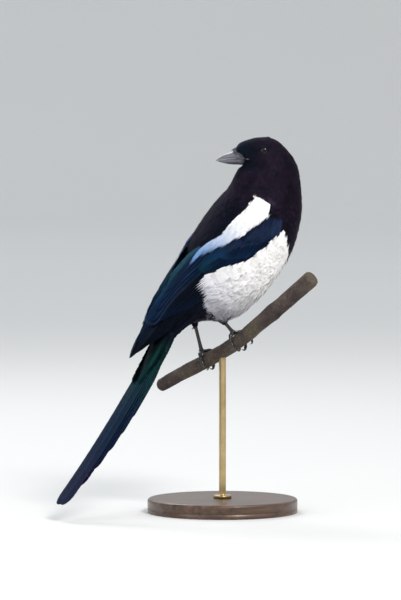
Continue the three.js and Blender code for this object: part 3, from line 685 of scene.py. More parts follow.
def make_head_coat(black):
    """The small close feathers of the head. They run back from the bill and turn down the nape."""
    h, angle, length = coat_rows(29.0, -26.0, head_measure, 0.0, 0.24, 0.5, 0.08, 0.23)
    row, tall = head_section(h)
    start = head_point(h, row[:, 3] * np.sin(angle), row[:, 1] - tall + tall * np.cos(angle))
    keep = (trunk_gap(start) > -6) & eye_clear(start, LID_REACH)
    h, angle, length, start = h[keep], angle[keep], length[keep], start[keep]
    down = smooth(6, -24, h)[:, None]
    flow = -FORWARD * (1 - down) - UP * (0.15 + down) + 0.06 * draw.normal(size=(len(h), 3))
    away = np.hypot(h - EYE["h"], start[:, 2] - EYE["z"])
    length = length * np.clip(away / 11, 0.5, 1)
    lines, normals = laid_lines(start, flow, length, -0.14 * length, np.full(len(h), -0.15))
    roots = np.stack([0.02 + 0.96 * angle / (2 * np.pi) % 1, 0.66 + 0.32 * (h + 27) / 58], 1)
    feathers = lines, normals, 0.3 * length, roots
    piece = lay("coat_head_black", fringed(5, 2, 0.6, 0.12), feathers, tinted, 0.03, 0.1)
    finish_piece(piece, black, "plumage_black")


def make_sock_coat(black):
    """Feathers down the top of each leg, in rings round its cone."""
    parts = []
    for side, sign in SIDES.items():
        _, _, way, _ = leg_frame(side)
        around = 14
        t, turn = np.meshgrid(np.linspace(0.35, 0.93, 9), np.arange(around), indexing="ij")
        angle = (turn + 0.5 * (np.round(t * 20) % 2)) * 2 * np.pi / around
        across = unit(np.cross(way, UP))
        other = np.cross(way, across)
        out = across * np.cos(angle)[..., None] + other * np.sin(angle)[..., None]
        middle, radius = sock_rings(side, t)
        start = middle + out * radius[..., None]
        size = 9 - 4 * t.ravel()
        flow = np.broadcast_to(way, (t.size, 3))
        line, normal = laid_lines(start.reshape(-1, 3), flow, size, -0.9, -0.1)
        roots = np.stack([0.5 + 0.2 * sign + 0.1 * angle.ravel() / 6.3, 0.62 + 0.03 * t.ravel()], 1)
        parts.append((line, normal, 0.32 * size, roots))

    def tint(points, u, v):
        low = np.maximum(smooth(200, 192, points[:, :1, 2]), points[:, :1, 1] > 0)
        return blend(body_tint(points[:, :1]), BLACK, low)

    feathers = [np.concatenate(part) for part in zip(*parts)]
    piece = lay("coat_thighs", fringed(6, 2, 0.55, 0.2), feathers, tint, 0.02, 0.15)
    finish_piece(piece, black, "plumage_black")


# Wings


def folded_line(side, start, end, low, high, bow, knots=12):
    """Middle line and outward normals of a feather over the folded wing, between two places given
    as a row of FOLDED and degrees down from the back. It bends by bow degrees at its middle."""
    t = np.linspace(0, 1, knots)
    place = start[0] + (end[0] - start[0]) * t
    angle = side * np.radians(start[1] + (end[1] - start[1]) * t + bow * np.sin(np.pi * t))
    rise = low + (high - low) * np.minimum(2.2 * t, 1)
    point = lambda p, a: body_point(FOLDED, -1, p, a, rise)
    here = point(place, angle)
    lengthwise = point(place + 0.03, angle) - here
    crosswise = point(place, angle + 0.02) - here
    return here, unit(np.cross(lengthwise, crosswise))


# Tiers of a folded wing: how many, first and last root, first and last tip, half width, height of
# the first over the wing's surface, rise from one to the next, bow.
TIERS = {
    "primaries": (10, (2.5, 80), (3.1, 64), (8.3, 55), (8.97, 13), 7.5, -3.6, 0.18, 4),
    "secondaries": (8, (2.6, 74), (3.3, 44), (5.9, 62), (7.4, 22), 9.5, -1.9, 0.19, 2),
    "tertials": (4, (3.2, 42), (3.3, 26), (7.2, 17), (5.8, 9), 8.0, -0.3, 0.35, 0),
    "primary_coverts": (5, (1.2, 96), (1.6, 88), (3.4, 87), (3.9, 79), 4.5, -1.5, 0.15, 0),
    "greater_coverts": (9, (1.25, 90), (2.4, 58), (3.25, 81), (4.3, 45), 7.5, -0.6, 0.16, 0),
    "median_coverts": (9, (0.7, 94), (1.9, 60), (2.05, 92), (3.1, 56), 6.5, 0.2, 0.05, 0),
    "lesser_coverts": (9, (0.2, 92), (0.9, 66), (1.3, 95), (2.1, 66), 6.0, 0.5, 0.03, 0),
}
NIGHT = np.array([0.004, 0.006, 0.013])
BLUE = np.array([0.008, 0.038, 0.100])
TEAL = np.array([0.005, 0.042, 0.062])
DEEP = np.array([0.005, 0.014, 0.042])
DUSK = np.array([0.020, 0.034, 0.085])
GREEN = np.array([0.006, 0.040, 0.038])
PURPLE = np.array([0.024, 0.010, 0.045])
# Colour of each tier's outer web, inner web and tip.
TIER_TINTS = {
    "primaries": (DEEP, NIGHT, NIGHT),
    "secondaries": (BLUE, NIGHT, DEEP),
    "tertials": (TEAL, DEEP, DEEP),
    "primary_coverts": (BLUE, NIGHT, DEEP),
    "greater_coverts": (BLUE, DEEP, TEAL),
    "median_coverts": (DUSK, DEEP, BLUE),
    "lesser_coverts": (DUSK, DUSK, DEEP),
}


def tier_tint(tier, side):
    """Colour over a wing feather: outer web, inner web beyond the shaft, and tip."""
    outer, inner, tip = TIER_TINTS[tier]

    def tint(points, u, v):
        web = smooth(-0.25, 0.25, u * side)
        shown = blend(blend(outer, inner, web), tip, smooth(0.55, 1.0, v) * 0.7)
        return np.broadcast_to(shown, points.shape)

    return tint


def wing_uv(side, place, degrees):
    """Place of a wing feather's root on the bake's unwrap of the folded wing."""
    return np.stack([0.5 + side * (0.02 + degrees / 380), 0.07 + 0.1 * place], -1)


def make_wing(name, side, gloss):
    """A folded wing, tier over tier, each feather laid over the one before it."""
    node = "wing_" + name
    for tier, (count, root_a, root_b, tip_a, tip_b, half, low, rise, bow) in TIERS.items():
        feathers = []
        for k in range(count):
            share = k / (count - 1)
            ends = np.array([root_a, tip_a]) * (1 - share) + np.array([root_b, tip_b]) * share
            tip = ends[1] + draw.normal(size=2) * np.array([0.06, 0.8])
            high = low + rise * k
            line, normal = folded_line(side, ends[0], tip, high - 1.6, high, bow)
            line[:, 1] = side * np.maximum(side * line[:, 1], 0.6)
            feathers.append((line, normal, half, ((k + 0.5) / count, 0.5)))
        flight = tier in ("primaries", "secondaries", "tertials")
        if tier == "primaries":
            shape = bladed(34, 0.74, 0.5, 0.3, 0.85)
        else:
            shape = bladed(34 if flight else 20, 0.9 if flight else 0.72, 0.5, 0.3)
        skew = -0.28 * side if flight else 0.0
        tint = tier_tint(tier, side)
        cell = (0.9 / count, 0.95)
        piece = lay(f"{node}_{tier}", shape, zip(*feathers), tint, 0.004, skew=skew, cell=cell)
        finish_piece(piece, gloss, "plumage_wing", *([node] if tier == "primaries" else []))


def make_wing_arm(name, side, black):
    """The solid root of a folded wing under its feathers: outer and inner walls along the folded
    surface between the wing's bounds, which meet in thin edges."""
    place = np.linspace(0.15, 6.6, 60)
    bounds = along(WING_REACH, np.clip(place, 0, len(WING_REACH) - 1))
    t = turns(40)
    middle, half = bounds.mean(1)[:, None], (bounds[:, 1] - bounds[:, 0])[:, None] / 2 - 4
    angle = np.radians(middle - half * np.cos(t)) * side
    thick = np.minimum(place / 0.6, 1) * np.minimum((6.8 - place) / 1.5, 1)
    rise = -3.4 + (1.9 * np.sin(t)) * thick[:, None] - 0.5 * np.maximum(place - 3, 0)[:, None]
    rings = body_point(FOLDED, -1, place[:, None] + 0 * angle, angle, rise)
    night = lambda points: np.broadcast_to(NIGHT, points.shape)
    tubes_piece("wing_arm_" + name, [rings], black, "plumage_wing", tint=night)


# White shoulder patch: millimetres along the body's axis, first and last degrees down the back.
SHOULDER = figures(
    (121, 52, 84), (106, 47, 78), (95, 42.5, 72), (83, 39, 67), (72, 38, 61), (62, 37, 53),
    (54, 35, 46), (46, 31, 38), (38, 26, 30)
)
# Millimetres along the body's axis, and the rows of FOLDED there.
AXIAL_ROWS = ([-13, 7, 27.6, 50, 75.4, 100, 120.7, 130], [6, 5, 4, 3, 2, 1, 0, -0.4])


def make_shoulder(name, side, white):
    """The long soft white feathers of the shoulder, over the root of the wing, with painted shade that
    turns them blue towards the rear.
    """
    feathers = []
    for k, s in enumerate(np.linspace(124, 47, 24)):
        reach = 19 + 9 * smooth(110, 60, s)
        edges = [np.interp(s - 0.6 * reach, SHOULDER[::-1, 0], SHOULDER[::-1, c]) for c in (1, 2)]
        edges[0] -= 5 * max(side, 0) * smooth(75, 45, s - 0.6 * reach)
        middle = (edges[0] + edges[1]) / 2
        bounds = min(edges[0] + 6.5, middle - 2), max(edges[1] - 5, middle + 1)
        count = max(int((bounds[1] - bounds[0]) / 3.0), 2 if s < 60 else 3)
        for j in range(count):
            degrees = bounds[0] + (bounds[1] - bounds[0]) * (j + 0.25 + 0.5 * (k % 2)) / count
            ends = [np.interp(value, *AXIAL_ROWS) for value in (s, s - reach * (1 + 0.08 * draw.normal()))]
            lean = degrees - 2.5 * min(j, 1) + draw.normal()
            sunk = smooth(5, 0, degrees - bounds[0])
            low, high = 0.9 - 2.6 * sunk, 2.6 - 2.2 * sunk
            line, normal = folded_line(side, (ends[0], degrees), (ends[1], lean), low, high, 0, 5)
            half = reach * (0.075 + 0.145 * smooth(34, 85, s - 0.6 * reach))
            feathers.append((line, normal, half, wing_uv(side, ends[0], degrees)))

    def tint(points, u, v):
        # Painted shade: towards the rear the white is painted blue, as the patch in shadow under the sky.
        back = smooth(98, 34, axial(points))
        return blend(WHITE, np.array([0.13, 0.26, 0.52]), back)

    piece = lay("shoulder_" + name, fringed(12, 2, 0.5, 0.12), zip(*feathers), tint, 0.01, 0.25)
    finish_piece(piece, white, "plumage_white")


# Lower edge of what shows of a folded wing: millimetres along the body's axis, degrees down.
WING_EDGE = figures((0, 50), (20, 63), (45, 78), (67, 89), (90, 97), (111, 107), (121, 112))


def make_flank(name, side, white):
    """Long loose white feathers of the flank, which rise over the lower edge of the folded wing
    and end on it in wisps."""
    feathers = []
    for k, s in enumerate(np.linspace(114, 34, 34)):
        for j in range(9):
            reach = (20 + 6 * smooth(100, 50, s)) * (1 + 0.12 * draw.normal())
            edge = np.interp(s - 0.7 * reach, *WING_EDGE.T)
            degrees = edge + 5 + 4 * (j + 0.5 * (k % 2)) + draw.normal()
            if s > np.interp(degrees, *BIB_EDGE.T) + 0.3 * reach:
                continue
            ends = [np.interp(value, *AXIAL_ROWS) for value in (s, s - reach)]
            lean = degrees - 3 - 3 * draw.random()
            high = 1.8 - 0.26 * j + 0.3 * draw.random()
            start, end = (ends[0], degrees + 3), (ends[1], lean)
            line, normal = folded_line(side, start, end, high - 2.6, high, 0, 5)
            feathers.append((line, normal, 0.22 * reach, wing_uv(side, ends[0], degrees)))
    # White, with painted shade in lavender grey low down.
    tint = lambda points, u, v: white_with_painted_shade(points)
    piece = lay("flank_" + name, fringed(12, 2, 0.5, 0.2), zip(*feathers), tint, 0.008, 0.5)
    finish_piece(piece, white, "plumage_white")


# Tail


def tail_line(l):
    """Points and upward normals of the tail's curve at millimetres from its root. Its pitch falls
    evenly from root to tip, and its points are the sum of the steps along it."""
    fine = np.linspace(0, TAIL_LENGTH + 2, 400)
    pitch = np.radians(TAIL_PITCH[0] + (TAIL_PITCH[1] - TAIL_PITCH[0]) * fine / TAIL_LENGTH)
    step = fine[1]
    x = TAIL_START[0] - np.concatenate([[0], np.cumsum(np.cos(pitch[1:]) * step)])
    z = TAIL_START[2] - np.concatenate([[0], np.cumsum(np.sin(pitch[1:]) * step)])
    bend = np.interp(l, fine, pitch)
    point = np.stack([np.interp(l, fine, x), np.zeros_like(l), np.interp(l, fine, z)], -1)
    return point, np.stack([-np.sin(bend), np.zeros_like(l), np.cos(bend)], -1)


def tail_tint(points, u, v):
    """Green at the root, blue along the middle and violet before the tip, darker towards both edges of each
    feather.
    """
    l = np.linalg.norm(points - TAIL_START, axis=-1)
    tint = blend(GREEN, DEEP * 1.1, smooth(30, 110, l))
    tint = blend(tint, PURPLE, smooth(120, 175, l) * 0.55)
    return blend(tint, NIGHT, smooth(0.35, 0.95, np.abs(u) + 0 * l) * 0.35)


def tail_root_tint(points, u, v):
    """Black at the body, then the tail's own colours."""
    l = np.linalg.norm(points - TAIL_START, axis=-1)
    return blend(BLACK, tail_tint(points, 0 * u, v) * 0.9, smooth(4, 36, l))


def make_tail(gloss, black):
    """Twelve graduated feathers in a stack, the middle pair on top, and the coverts at its root."""
    t = np.linspace(0, 1, 16)
    feathers = []
    for k, (length, middle, half) in enumerate(TAIL_FEATHERS):
        for side in (-1, 1):
            point, back = tail_line(TAIL_SUNK + (length - TAIL_SUNK) * t)
            apart = 2 * k + (side > 0) if k < 2 else k + 2
            across = side * middle * np.minimum(0.4 + 1.2 * t, 1)
            line = point + back * (3.6 - 0.55 * apart - 0.0072 * across**2)[:, None]
            line[:, 1] += across
            feathers.append((line, back, half, (len(feathers) / 12 + 0.04, 0.5)))
    shape = bladed(72, 0.93, 0.42, 0.35)
    piece = lay("tail_feathers", shape, zip(*feathers), tail_tint, 0.006, cell=(0.075, 0.95))
    finish_piece(piece, gloss, "plumage_tail", "tail")
    make_tail_coverts(black)


# The body of the coverts over and under the tail's root: millimetres along the tail, reach to the
# back, to the belly and to each side.
TAIL_ROOT = figures(
    (0.5, 9, 8, 12), (14, 8, 8.5, 14.2), (32, 6, 7.6, 13.2), (52, 4, 6, 10.5), (66, 2.5, 4.5, 6.5)
)


def make_tail_coverts(black):
    """Coverts over and under the tail's root: a core that narrows to a flat end, and soft feathers
    on it that grow longer rearwards."""
    rows = along(TAIL_ROOT, np.linspace(0, 4, 25))
    angle = turns(28)
    point, back = tail_line(rows[:, 0])
    reach = np.where(np.cos(angle)[None] > 0, rows[:, 1:2], rows[:, 2:3]) - 1.2
    rings = point[:, None] + back[:, None] * (reach * np.cos(angle))[..., None]
    rings[..., 1] += (rows[:, 3:4] - 1.2) * np.sin(angle)
    tint = lambda points: tail_root_tint(points, 0, 0)
    tubes_piece("tail_root", [rings], black, "plumage_black", tint=tint)
    feathers = []
    count = 22
    for k, l in enumerate(np.linspace(-6, 42, 14)):
        length = 18 + 0.14 * max(l, 0)
        for a in (np.arange(count) + 0.5 * (k % 2)) * 2 * np.pi / count:
            spots = l + np.linspace(0, length, 5)
            row = along(TAIL_ROOT, place_of(TAIL_ROOT, spots))
            point, back = tail_line(np.maximum(spots, 0.0))
            point = point + unit(np.diff(point, axis=0)[:1]) * np.minimum(spots, 0)[:, None]
            rise = np.linspace(-1.4, -0.1, 5)
            reach = (row[:, 1] if math.cos(a) > 0 else row[:, 2]) + rise
            line = point + back * (reach * math.cos(a))[:, None]
            line[:, 1] += (row[:, 3] + rise) * math.sin(a)
            out = back * math.cos(a) / row[:, 1:2] + np.array([0, 1, 0]) * math.sin(a) / row[:, 3:4]
            root = (0.5 + 0.45 * a / (2 * np.pi), 0.04 + 0.002 * (l + 6))
            feathers.append((line, unit(out), 0.26 * length, root))
    piece = lay("coat_tail_coverts", fringed(8, 3, 0.6, 0.2), zip(*feathers), tail_root_tint, 0.012, 0.05)
    finish_piece(piece, black, "plumage_black")


# Skin


COAT_DEPTH = 2.6
WING_DEPTH = 3.6  # added under the folded wings
HEAD_COAT_DEPTH = 1.3


def make_skin(material):
    """One closed skin under the coat: the lofts of body, head and leg tops fused by a voxel
    remesh, then settled to the depth of the coat: deep under the wings, thin on the face."""
    angle = turns(48)
    place = np.linspace(0, len(TRUNK) - 1, 97)
    rings = body_point(TRUNK, 1, place[:, None], angle[None], -1.0)
    row = along(HEAD, np.linspace(0, len(HEAD) - 1, 49))
    tall = (row[:, 1:2] - row[:, 2:3]) / 2 - 1
    high = row[:, 1:2] - 1 - tall + tall * np.cos(angle)
    skull = head_point(row[:, :1] + 0 * angle, (row[:, 3:] - 1) * np.sin(angle), high)
    shapes = [closed_tube(rings), closed_tube(skull)]
    for side in SIDES:
        shapes.append(closed_tube(sweep(*sock_rings(side, np.linspace(0, 1, 12)), 24)))
    rough = new_object("rough_skin", *join_shapes(shapes))
    remesh = rough.modifiers.new("fuse", "REMESH")
    remesh.mode = "VOXEL"
    remesh.voxel_size = 1.6 * MM
    fused = bpy.data.meshes.new_from_object(rough.evaluated_get(bpy.context.evaluated_depsgraph_get()))
    bpy.data.objects.remove(rough)
    count = len(fused.vertices)
    points = np.zeros(count * 3, np.float32)
    fused.vertices.foreach_get("co", points)
    points = points.reshape(-1, 3).astype(float) / MM
    fused.calc_loop_triangles()
    faces = np.zeros(len(fused.loop_triangles) * 3, np.int32)
    fused.loop_triangles.foreach_get("vertices", faces)
    spot, turn, _ = trunk_place(points)
    cover = wing_cover(spot, turn)
    deep = COAT_DEPTH + WING_DEPTH * cover
    deep = deep * (1 - head_share(points)) + HEAD_COAT_DEPTH * head_share(points)
    deep = deep * (1 - 0.45 * face_share(points, -10, 14, 338, 350))
    points, _ = settle(points, -deep, 3)
    # Under the folded wings the skin is painted darker than the black coat, as painted shade in the gaps
    # beneath them; over the head it is black like the head's coat.
    dark = np.maximum(smooth(0.2, 0.5, cover), head_share(points))
    tint = blend(body_tint(points), BLACK * 0.6, dark)
    piece = new_object("skin", points, faces.reshape(-1, 3), tint)
    finish_piece(piece, material, "plumage_black", "head", "neck", "torso", "thigh_right", "thigh_left")


# Bill, eyes and bristles


def bill_rings(table, rows, around):
    """Rings of one half of the bill: half an ellipse from the mouth line to the ridge, closed by
    a gently hollow floor along the mouth."""
    row = along(table, np.linspace(0, len(table) - 1, rows))
    h, ridge, line, side = (row[:, n : n + 1] for n in range(4))
    sense = np.sign(table[0, 1] - table[0, 2])
    tall = np.maximum(np.abs(ridge - line) - MOUTH_GAP / 2, 0.3)
    half = around // 2
    arc = np.linspace(0, np.pi, half, endpoint=False)
    flat = np.linspace(-1, 1, around - half, endpoint=False)
    out = np.concatenate([side * np.cos(arc), side * flat], 1)
    up = np.concatenate([tall * np.sin(arc) ** 0.85, 0.12 * tall * (1 - flat**2)], 1)
    return head_point(h + 0 * out, out, line + sense * (MOUTH_GAP / 2 + up))


def make_bill(horn):
    """Both halves of the bill."""
    for node, table in (("bill_upper", UPPER_BILL), ("bill_lower", LOWER_BILL)):
        tubes_piece(node + "_horn", [bill_rings(table, 60, 36)], horn, "bill_horn", node)


def bristle_lines(table, around, start_h, reach, clear):
    """Middle lines and normals of small feathers that lie forward over half the bill: each keeps
    its angle round the bill's section and its height clear of the horn."""
    t = np.linspace(0, 1, 5)
    h = start_h[:, None] + reach[:, None] * t
    row = along(table, place_of(table, h))
    rise = clear[:, None] + (-1.4 * t + 0.5 * t**3)[None]
    tall = row[..., 1] - row[..., 2]
    tall = tall + np.sign(tall) * rise
    a = around[:, None] * (1 + 0.06 * t)
    lines = head_point(h, (row[..., 3] + rise * 0.8) * np.sin(a), row[..., 2] + tall * np.cos(a))
    sense = np.sign(table[0, 1] - table[0, 2])
    return lines, unit(np.sin(a)[..., None] * HEAD_LEFT + sense * np.cos(a)[..., None] * UP + 0 * lines)


def make_bristles(black):
    """The stiff feathers over the nostrils, on the ridge and both sides of the upper half of the
    bill, and the shorter ones of the chin under the lower half."""
    over, under = 340, 150
    around = np.linspace(-1.5, 1.5, over) + 0.05 * draw.normal(size=over)
    start_h = 21 + 5.5 * draw.random(over) - 1.2 * np.abs(around)
    reach = 7.5 + 2.5 * draw.random(over) - 1.5 * np.abs(around)
    parts = [bristle_lines(UPPER_BILL, around, start_h, reach, 2.6 + 0.9 * draw.random(over))]
    chin = np.linspace(-1.5, 1.5, under) + 0.05 * draw.normal(size=under)
    start_h = 13 + 5 * draw.random(under)
    reach = 6 + 2 * draw.random(under)
    parts.append(bristle_lines(LOWER_BILL, chin, start_h, reach, 1.6 + 0.5 * draw.random(under)))
    lines, normals = (np.concatenate(part) for part in zip(*parts))
    count = over + under
    # Black at the root, paler grey towards the tip: the grey is a painted sheen on the black bristles.
    tint = lambda points, u, v: blend(BLACK, BRISTLE_SHEEN, 0.2 + 0.7 * v + 0 * points[..., 0])
    roots = np.stack([np.linspace(0.1, 0.9, count), 0.97 + 0.01 * (np.arange(count) % 2)], 1)
    feathers = lines, normals, np.full(count, 0.62), roots
    piece = lay("nasal_bristles", fringed(3, 2, 0.4, 0.1), feathers, tint, 0.0, 0.05)
    finish_piece(piece, black, "plumage_black")


def make_gape(material):
    """The fleshy corner of the mouth on each side, a short roll that runs back from the bill."""
    t = np.linspace(0, 1, 24)
    h = 20.5 - 11 * t
    row, tall = head_section(h)
    z = 352.6 - 0.6 * t
    out = row[:, 3] * np.sqrt(np.maximum(1 - ((z - row[:, 2] - tall) / tall) ** 2, 0.05)) + 0.1
    radius = 0.15 + 0.75 * np.sin(np.pi * t) ** 0.7
    rolls = [sweep(head_point(h, side * out, z), radius, 12) for side in SIDES.values()]
    tubes_piece("gape", rolls, material, "bill_horn")


def make_eyes(glass, lid_skin):
    """An eyeball on each side, and the bare lid round what shows of it."""
    polar = np.linspace(0.02, np.pi - 0.02, 28)
    turn, tube = turns(40), turns(12)
    circle = np.cos(turn)[:, None] * FORWARD + np.sin(turn)[:, None] * UP
    bend = lambda wave: np.sign(wave) * np.abs(wave) ** 0.7
    almond = 1 - 0.07 * np.abs(np.sin(turn)) + 0.05 * np.abs(np.cos(turn)) ** 3
    opening = np.radians(54 - 18 * bend(np.cos(tube)))[None] * almond[:, None]
    distance = EYE["radius"] + 0.05 + 0.45 * bend(np.sin(tube))[None, :, None]
    for name, side in (("eye_right", -1), ("eye_left", 1)):
        middle = head_point(EYE["h"], side * EYE["out"], EYE["z"])
        axis = HEAD_LEFT * side
        ball = np.cos(polar)[:, None, None] * axis + np.sin(polar)[:, None, None] * circle
        from_axis = lambda points: np.linalg.norm(np.cross(points - middle, axis), axis=1)
        hue = lambda points: blend(PUPIL, IRIS, smooth(1.9, 2.3, from_axis(points)))
        rings = middle + EYE["radius"] * ball
        tubes_piece(name + "_ball", [rings], glass, "eye_glass", name, tint=hue)
        outward = np.cos(opening)[..., None] * axis + np.sin(opening)[..., None] * circle[:, None]
        lid = middle + distance * outward
        faces = triangles(ring_faces(41, 12) % (40 * 12))[:, ::-side]
        lid = new_object(name + "_lid", lid, faces, np.broadcast_to(BLACK, lid.shape))
        finish_piece(lid, lid_skin, "plumage_black")


# Legs and claws


def grip_axes(side):
    """The middle of a grip, the way along the branch there, and the ways to its top and front."""
    run = unit(PERCH[3, :3] - PERCH[2, :3])
    top = np.array([-0.22, 0, 1])
    top = unit(top - run * (top @ run))
    return GRIP[side], run, top, np.cross(top, run)


def grip_point(side, degrees, out, shift):
    """A point over the bark: degrees round the branch from its top towards the front, out from
    the bark and along the branch."""
    middle, run, top, front = grip_axes(side)
    angle = np.radians(degrees)
    far = np.asarray(BARK + out)[..., None]
    turn = np.cos(angle)[..., None] * top + np.sin(angle)[..., None] * front
    return middle + far * turn + np.asarray(shift)[..., None] * run


def toe_shift(side, toe, t):
    """How far a toe has strayed along the branch at a share of its length."""
    return -SIDES[side] * toe["splay"] * np.sin(t * np.pi / 2)


def toe_rings(side, toe):
    """A toe over the bark: a tube that narrows to its claw and swells at three pads beneath, with
    scutes as fine steps on its upper face."""
    t = np.linspace(0, 1, 72)
    pads = 1 + 0.09 * np.cos(2 * np.pi * t * 3)
    radius = toe["radius"] * (1 - 0.28 * t) * pads
    line = grip_point(side, toe["sweep"] * t, 0.55 + radius, toe_shift(side, toe, t))
    outward = unit(line[0] - GRIP[side])
    around = 16
    angle = turns(around)
    scute = 0.05 * np.abs(np.sin(np.pi * 13 * t))[:, None] * np.maximum(np.cos(angle), 0)[None]
    return sweep(line, radius[:, None] * (0.95 + scute), around, outward)


def shank_rings(side):
    """The bare leg: narrow in the middle, wider at the foot, with broad scutes down the front."""
    ankle, _, way, long = leg_frame(side)
    t = np.linspace(0, 1, 90)
    line = ankle + way * (SOCK[side] - 2 + (long - SOCK[side] + 2) * t)[:, None]
    radius = TARSUS * (1 + 0.35 * t**6 + 0.12 * (1 - t) ** 4)
    around = 20
    angle = turns(around)
    scute = 0.07 * np.abs(np.sin(np.pi * 9 * t)) ** 0.5
    shape = 1 + scute[:, None] * np.maximum(np.cos(angle), 0)[None] - 0.1 * np.abs(np.sin(angle))[None]
    return sweep(line, radius[:, None] * shape, around, np.array([1.0, 0, 0.3]))


def foot_ball(side):
    """The ball of the foot, a flattened round where the toes meet."""
    foot = leg_frame(side)[1]
    polar = np.linspace(0.05, np.pi - 0.05, 16)
    angle = turns(20)
    _, run, top, front = grip_axes(side)
    circle = np.cos(angle)[:, None] * run * 2.7 + np.sin(angle)[:, None] * front * 3.1
    return foot + np.cos(polar)[:, None, None] * top * 2.4 + np.sin(polar)[:, None, None] * circle[None]


def claw_rings(side, toe):
    """A claw from inside its toe's end, arched off the bark and down to it with its point."""
    t = np.linspace(0, 1, 24)
    sunk = math.copysign(1.5, toe["sweep"])
    radius = toe["radius"] * 0.66 * (1 - t**1.15) + 0.16
    rise = 0.55 + toe["radius"] * 0.72 * (1 - t) + radius * t + 1.1 * np.sin(np.pi * t)
    degrees = toe["sweep"] - sunk + (toe["claw"] + sunk) * t
    line = grip_point(side, degrees, rise, toe_shift(side, toe, 1.0) + 0 * t)
    return sweep(line, radius, 14, unit(line[0] - GRIP[side]))


def make_legs(scale, horn):
    """Shank, ball and toes of each leg as one piece, and its four claws as another."""
    for side in SIDES:
        tubes = [shank_rings(side), foot_ball(side), *(toe_rings(side, toe) for toe in TOES.values())]
        tubes_piece("leg_scales_" + side, tubes, scale, "leg_scale", "leg_" + side)
        claws = [claw_rings(side, toe) for toe in TOES.values()]
        nodes = [f"claw_{side}_{toe}" for toe in TOES]
        tubes_piece("claws_" + side, claws, horn, "claw_horn", *nodes)


# Perch and stand


def waves(places, strengths, seed):
    """Smooth noise: a sum of sines of seeded directions and phases over several coordinates."""
    roll = np.random.default_rng(seed)
    total = np.zeros(places.shape[:-1])
    for strength, pitch in strengths:
        for _ in range(5):
            way = roll.normal(size=places.shape[-1])
            way *= 2 * np.pi / pitch / np.linalg.norm(way)
            total += strength / 5 * np.sin(places @ way + roll.random() * 7)
    return total


def bark_tube(line, radii, around, seed):
    """A branch: a tube whose radius wanders in long ridges, with swollen knots, and whose ends
    are cut flat over a small bevel."""
    length = np.concatenate([[0], np.cumsum(np.linalg.norm(np.diff(line, axis=0), axis=1))])
    angle = turns(around)
    spots = np.broadcast_arrays(length[:, None] * 0.35, 7 * np.cos(angle), 7 * np.sin(angle))
    rough = waves(np.stack(spots, -1), ((0.4, 26), (0.35, 9), (0.28, 3.6), (0.12, 1.6)), seed)
    bevel = np.minimum(length, length[-1] - length)[:, None]
    radius = radii[:, None] + rough - 0.8 * np.exp(-bevel / 0.7)
    return sweep(line, radius, around)


def make_perch(bark):
    """The cut length of branch, with a stub of a side shoot."""
    place = np.linspace(0, len(PERCH) - 1, 420)
    knots = along(PERCH, place)
    swell = 1 + 0.1 * np.exp(-(((place - 4.45) / 0.16) ** 2))
    branch = bark_tube(knots[:, :3], (knots[:, 3] - 0.35) * swell, 72, 3)
    root = along(PERCH, 0.74 * 6)[:3]
    t = np.linspace(0, 1, 40)[:, None]
    shoot = root + np.array([7, -3, 8]) * 2 * t * (1 - t) + (np.array([12.5, -7, 15]) * t**2)
    stub = bark_tube(shoot, 4.2 - 1.6 * t[:, 0], 24, 5)
    tubes_piece("perch_bark", [branch, stub], bark, "perch_bark", "perch_branch")


def turned_rings(profile, around):
    """Rings of a profile of radius and height carried round the upright axis."""
    radius, height = np.array(profile, float).T[:, :, None]
    angle = turns(around)
    return np.stack([radius * np.cos(angle), radius * np.sin(angle), height + 0 * angle], -1)


def arc(middle, radius, start, end, count=8):
    """Points of an arc in the plane of radius and height, in degrees."""
    a = np.radians(np.linspace(start, end, count))
    return [(middle[0] + radius * math.cos(t), middle[1] + radius * math.sin(t)) for t in a]


def make_stand(wood, brass):
    """The turned base and the rod with its flange."""
    edge = 2.5
    profile = [(0.01, 0), (BASE_RADIUS - 1, 0)]
    profile += arc((BASE_RADIUS - 1, 1), 1, -90, 0, 6)
    profile += [(BASE_RADIUS, 4), (BASE_RADIUS - 0.5, 4.4), (BASE_RADIUS - 0.5, 5.2), (BASE_RADIUS, 5.6)]
    profile += arc((BASE_RADIUS - edge, BASE_HEIGHT - edge), edge, 0, 90, 12)
    profile += [(r, BASE_HEIGHT) for r in np.linspace(BASE_RADIUS - 6, 12, 12)]
    hole, bottom = ROD_RADIUS + 0.3, BASE_HEIGHT - ROD_SUNK
    profile += [(hole, BASE_HEIGHT), (hole, bottom - 0.2), (0.01, bottom - 0.2)]
    tubes_piece("stand_base_turned", [turned_rings(profile, 128)], wood, "stand_wood", "stand_base")
    low = BASE_HEIGHT + 0.3
    top = along(PERCH, 2.5)[2]
    radius, height = FLANGE
    profile = [(0.01, bottom), (ROD_RADIUS, bottom), (ROD_RADIUS, low)]
    profile += [(radius - 0.2, low), (radius, low + 0.2)]
    profile += arc((radius - 1, low + height - 1), 1, 0, 90)
    profile += arc((ROD_RADIUS + 1.2, low + height + 1.2), 1.2, 270, 180)
    profile += [(ROD_RADIUS, z) for z in np.linspace(low + height + 4, top - 0.3, 20)] + [(0.01, top - 0.3)]
    tubes_piece("stand_rod_turned", [turned_rings(profile, 64)], brass, "stand_metal", "stand_rod")


# Materials


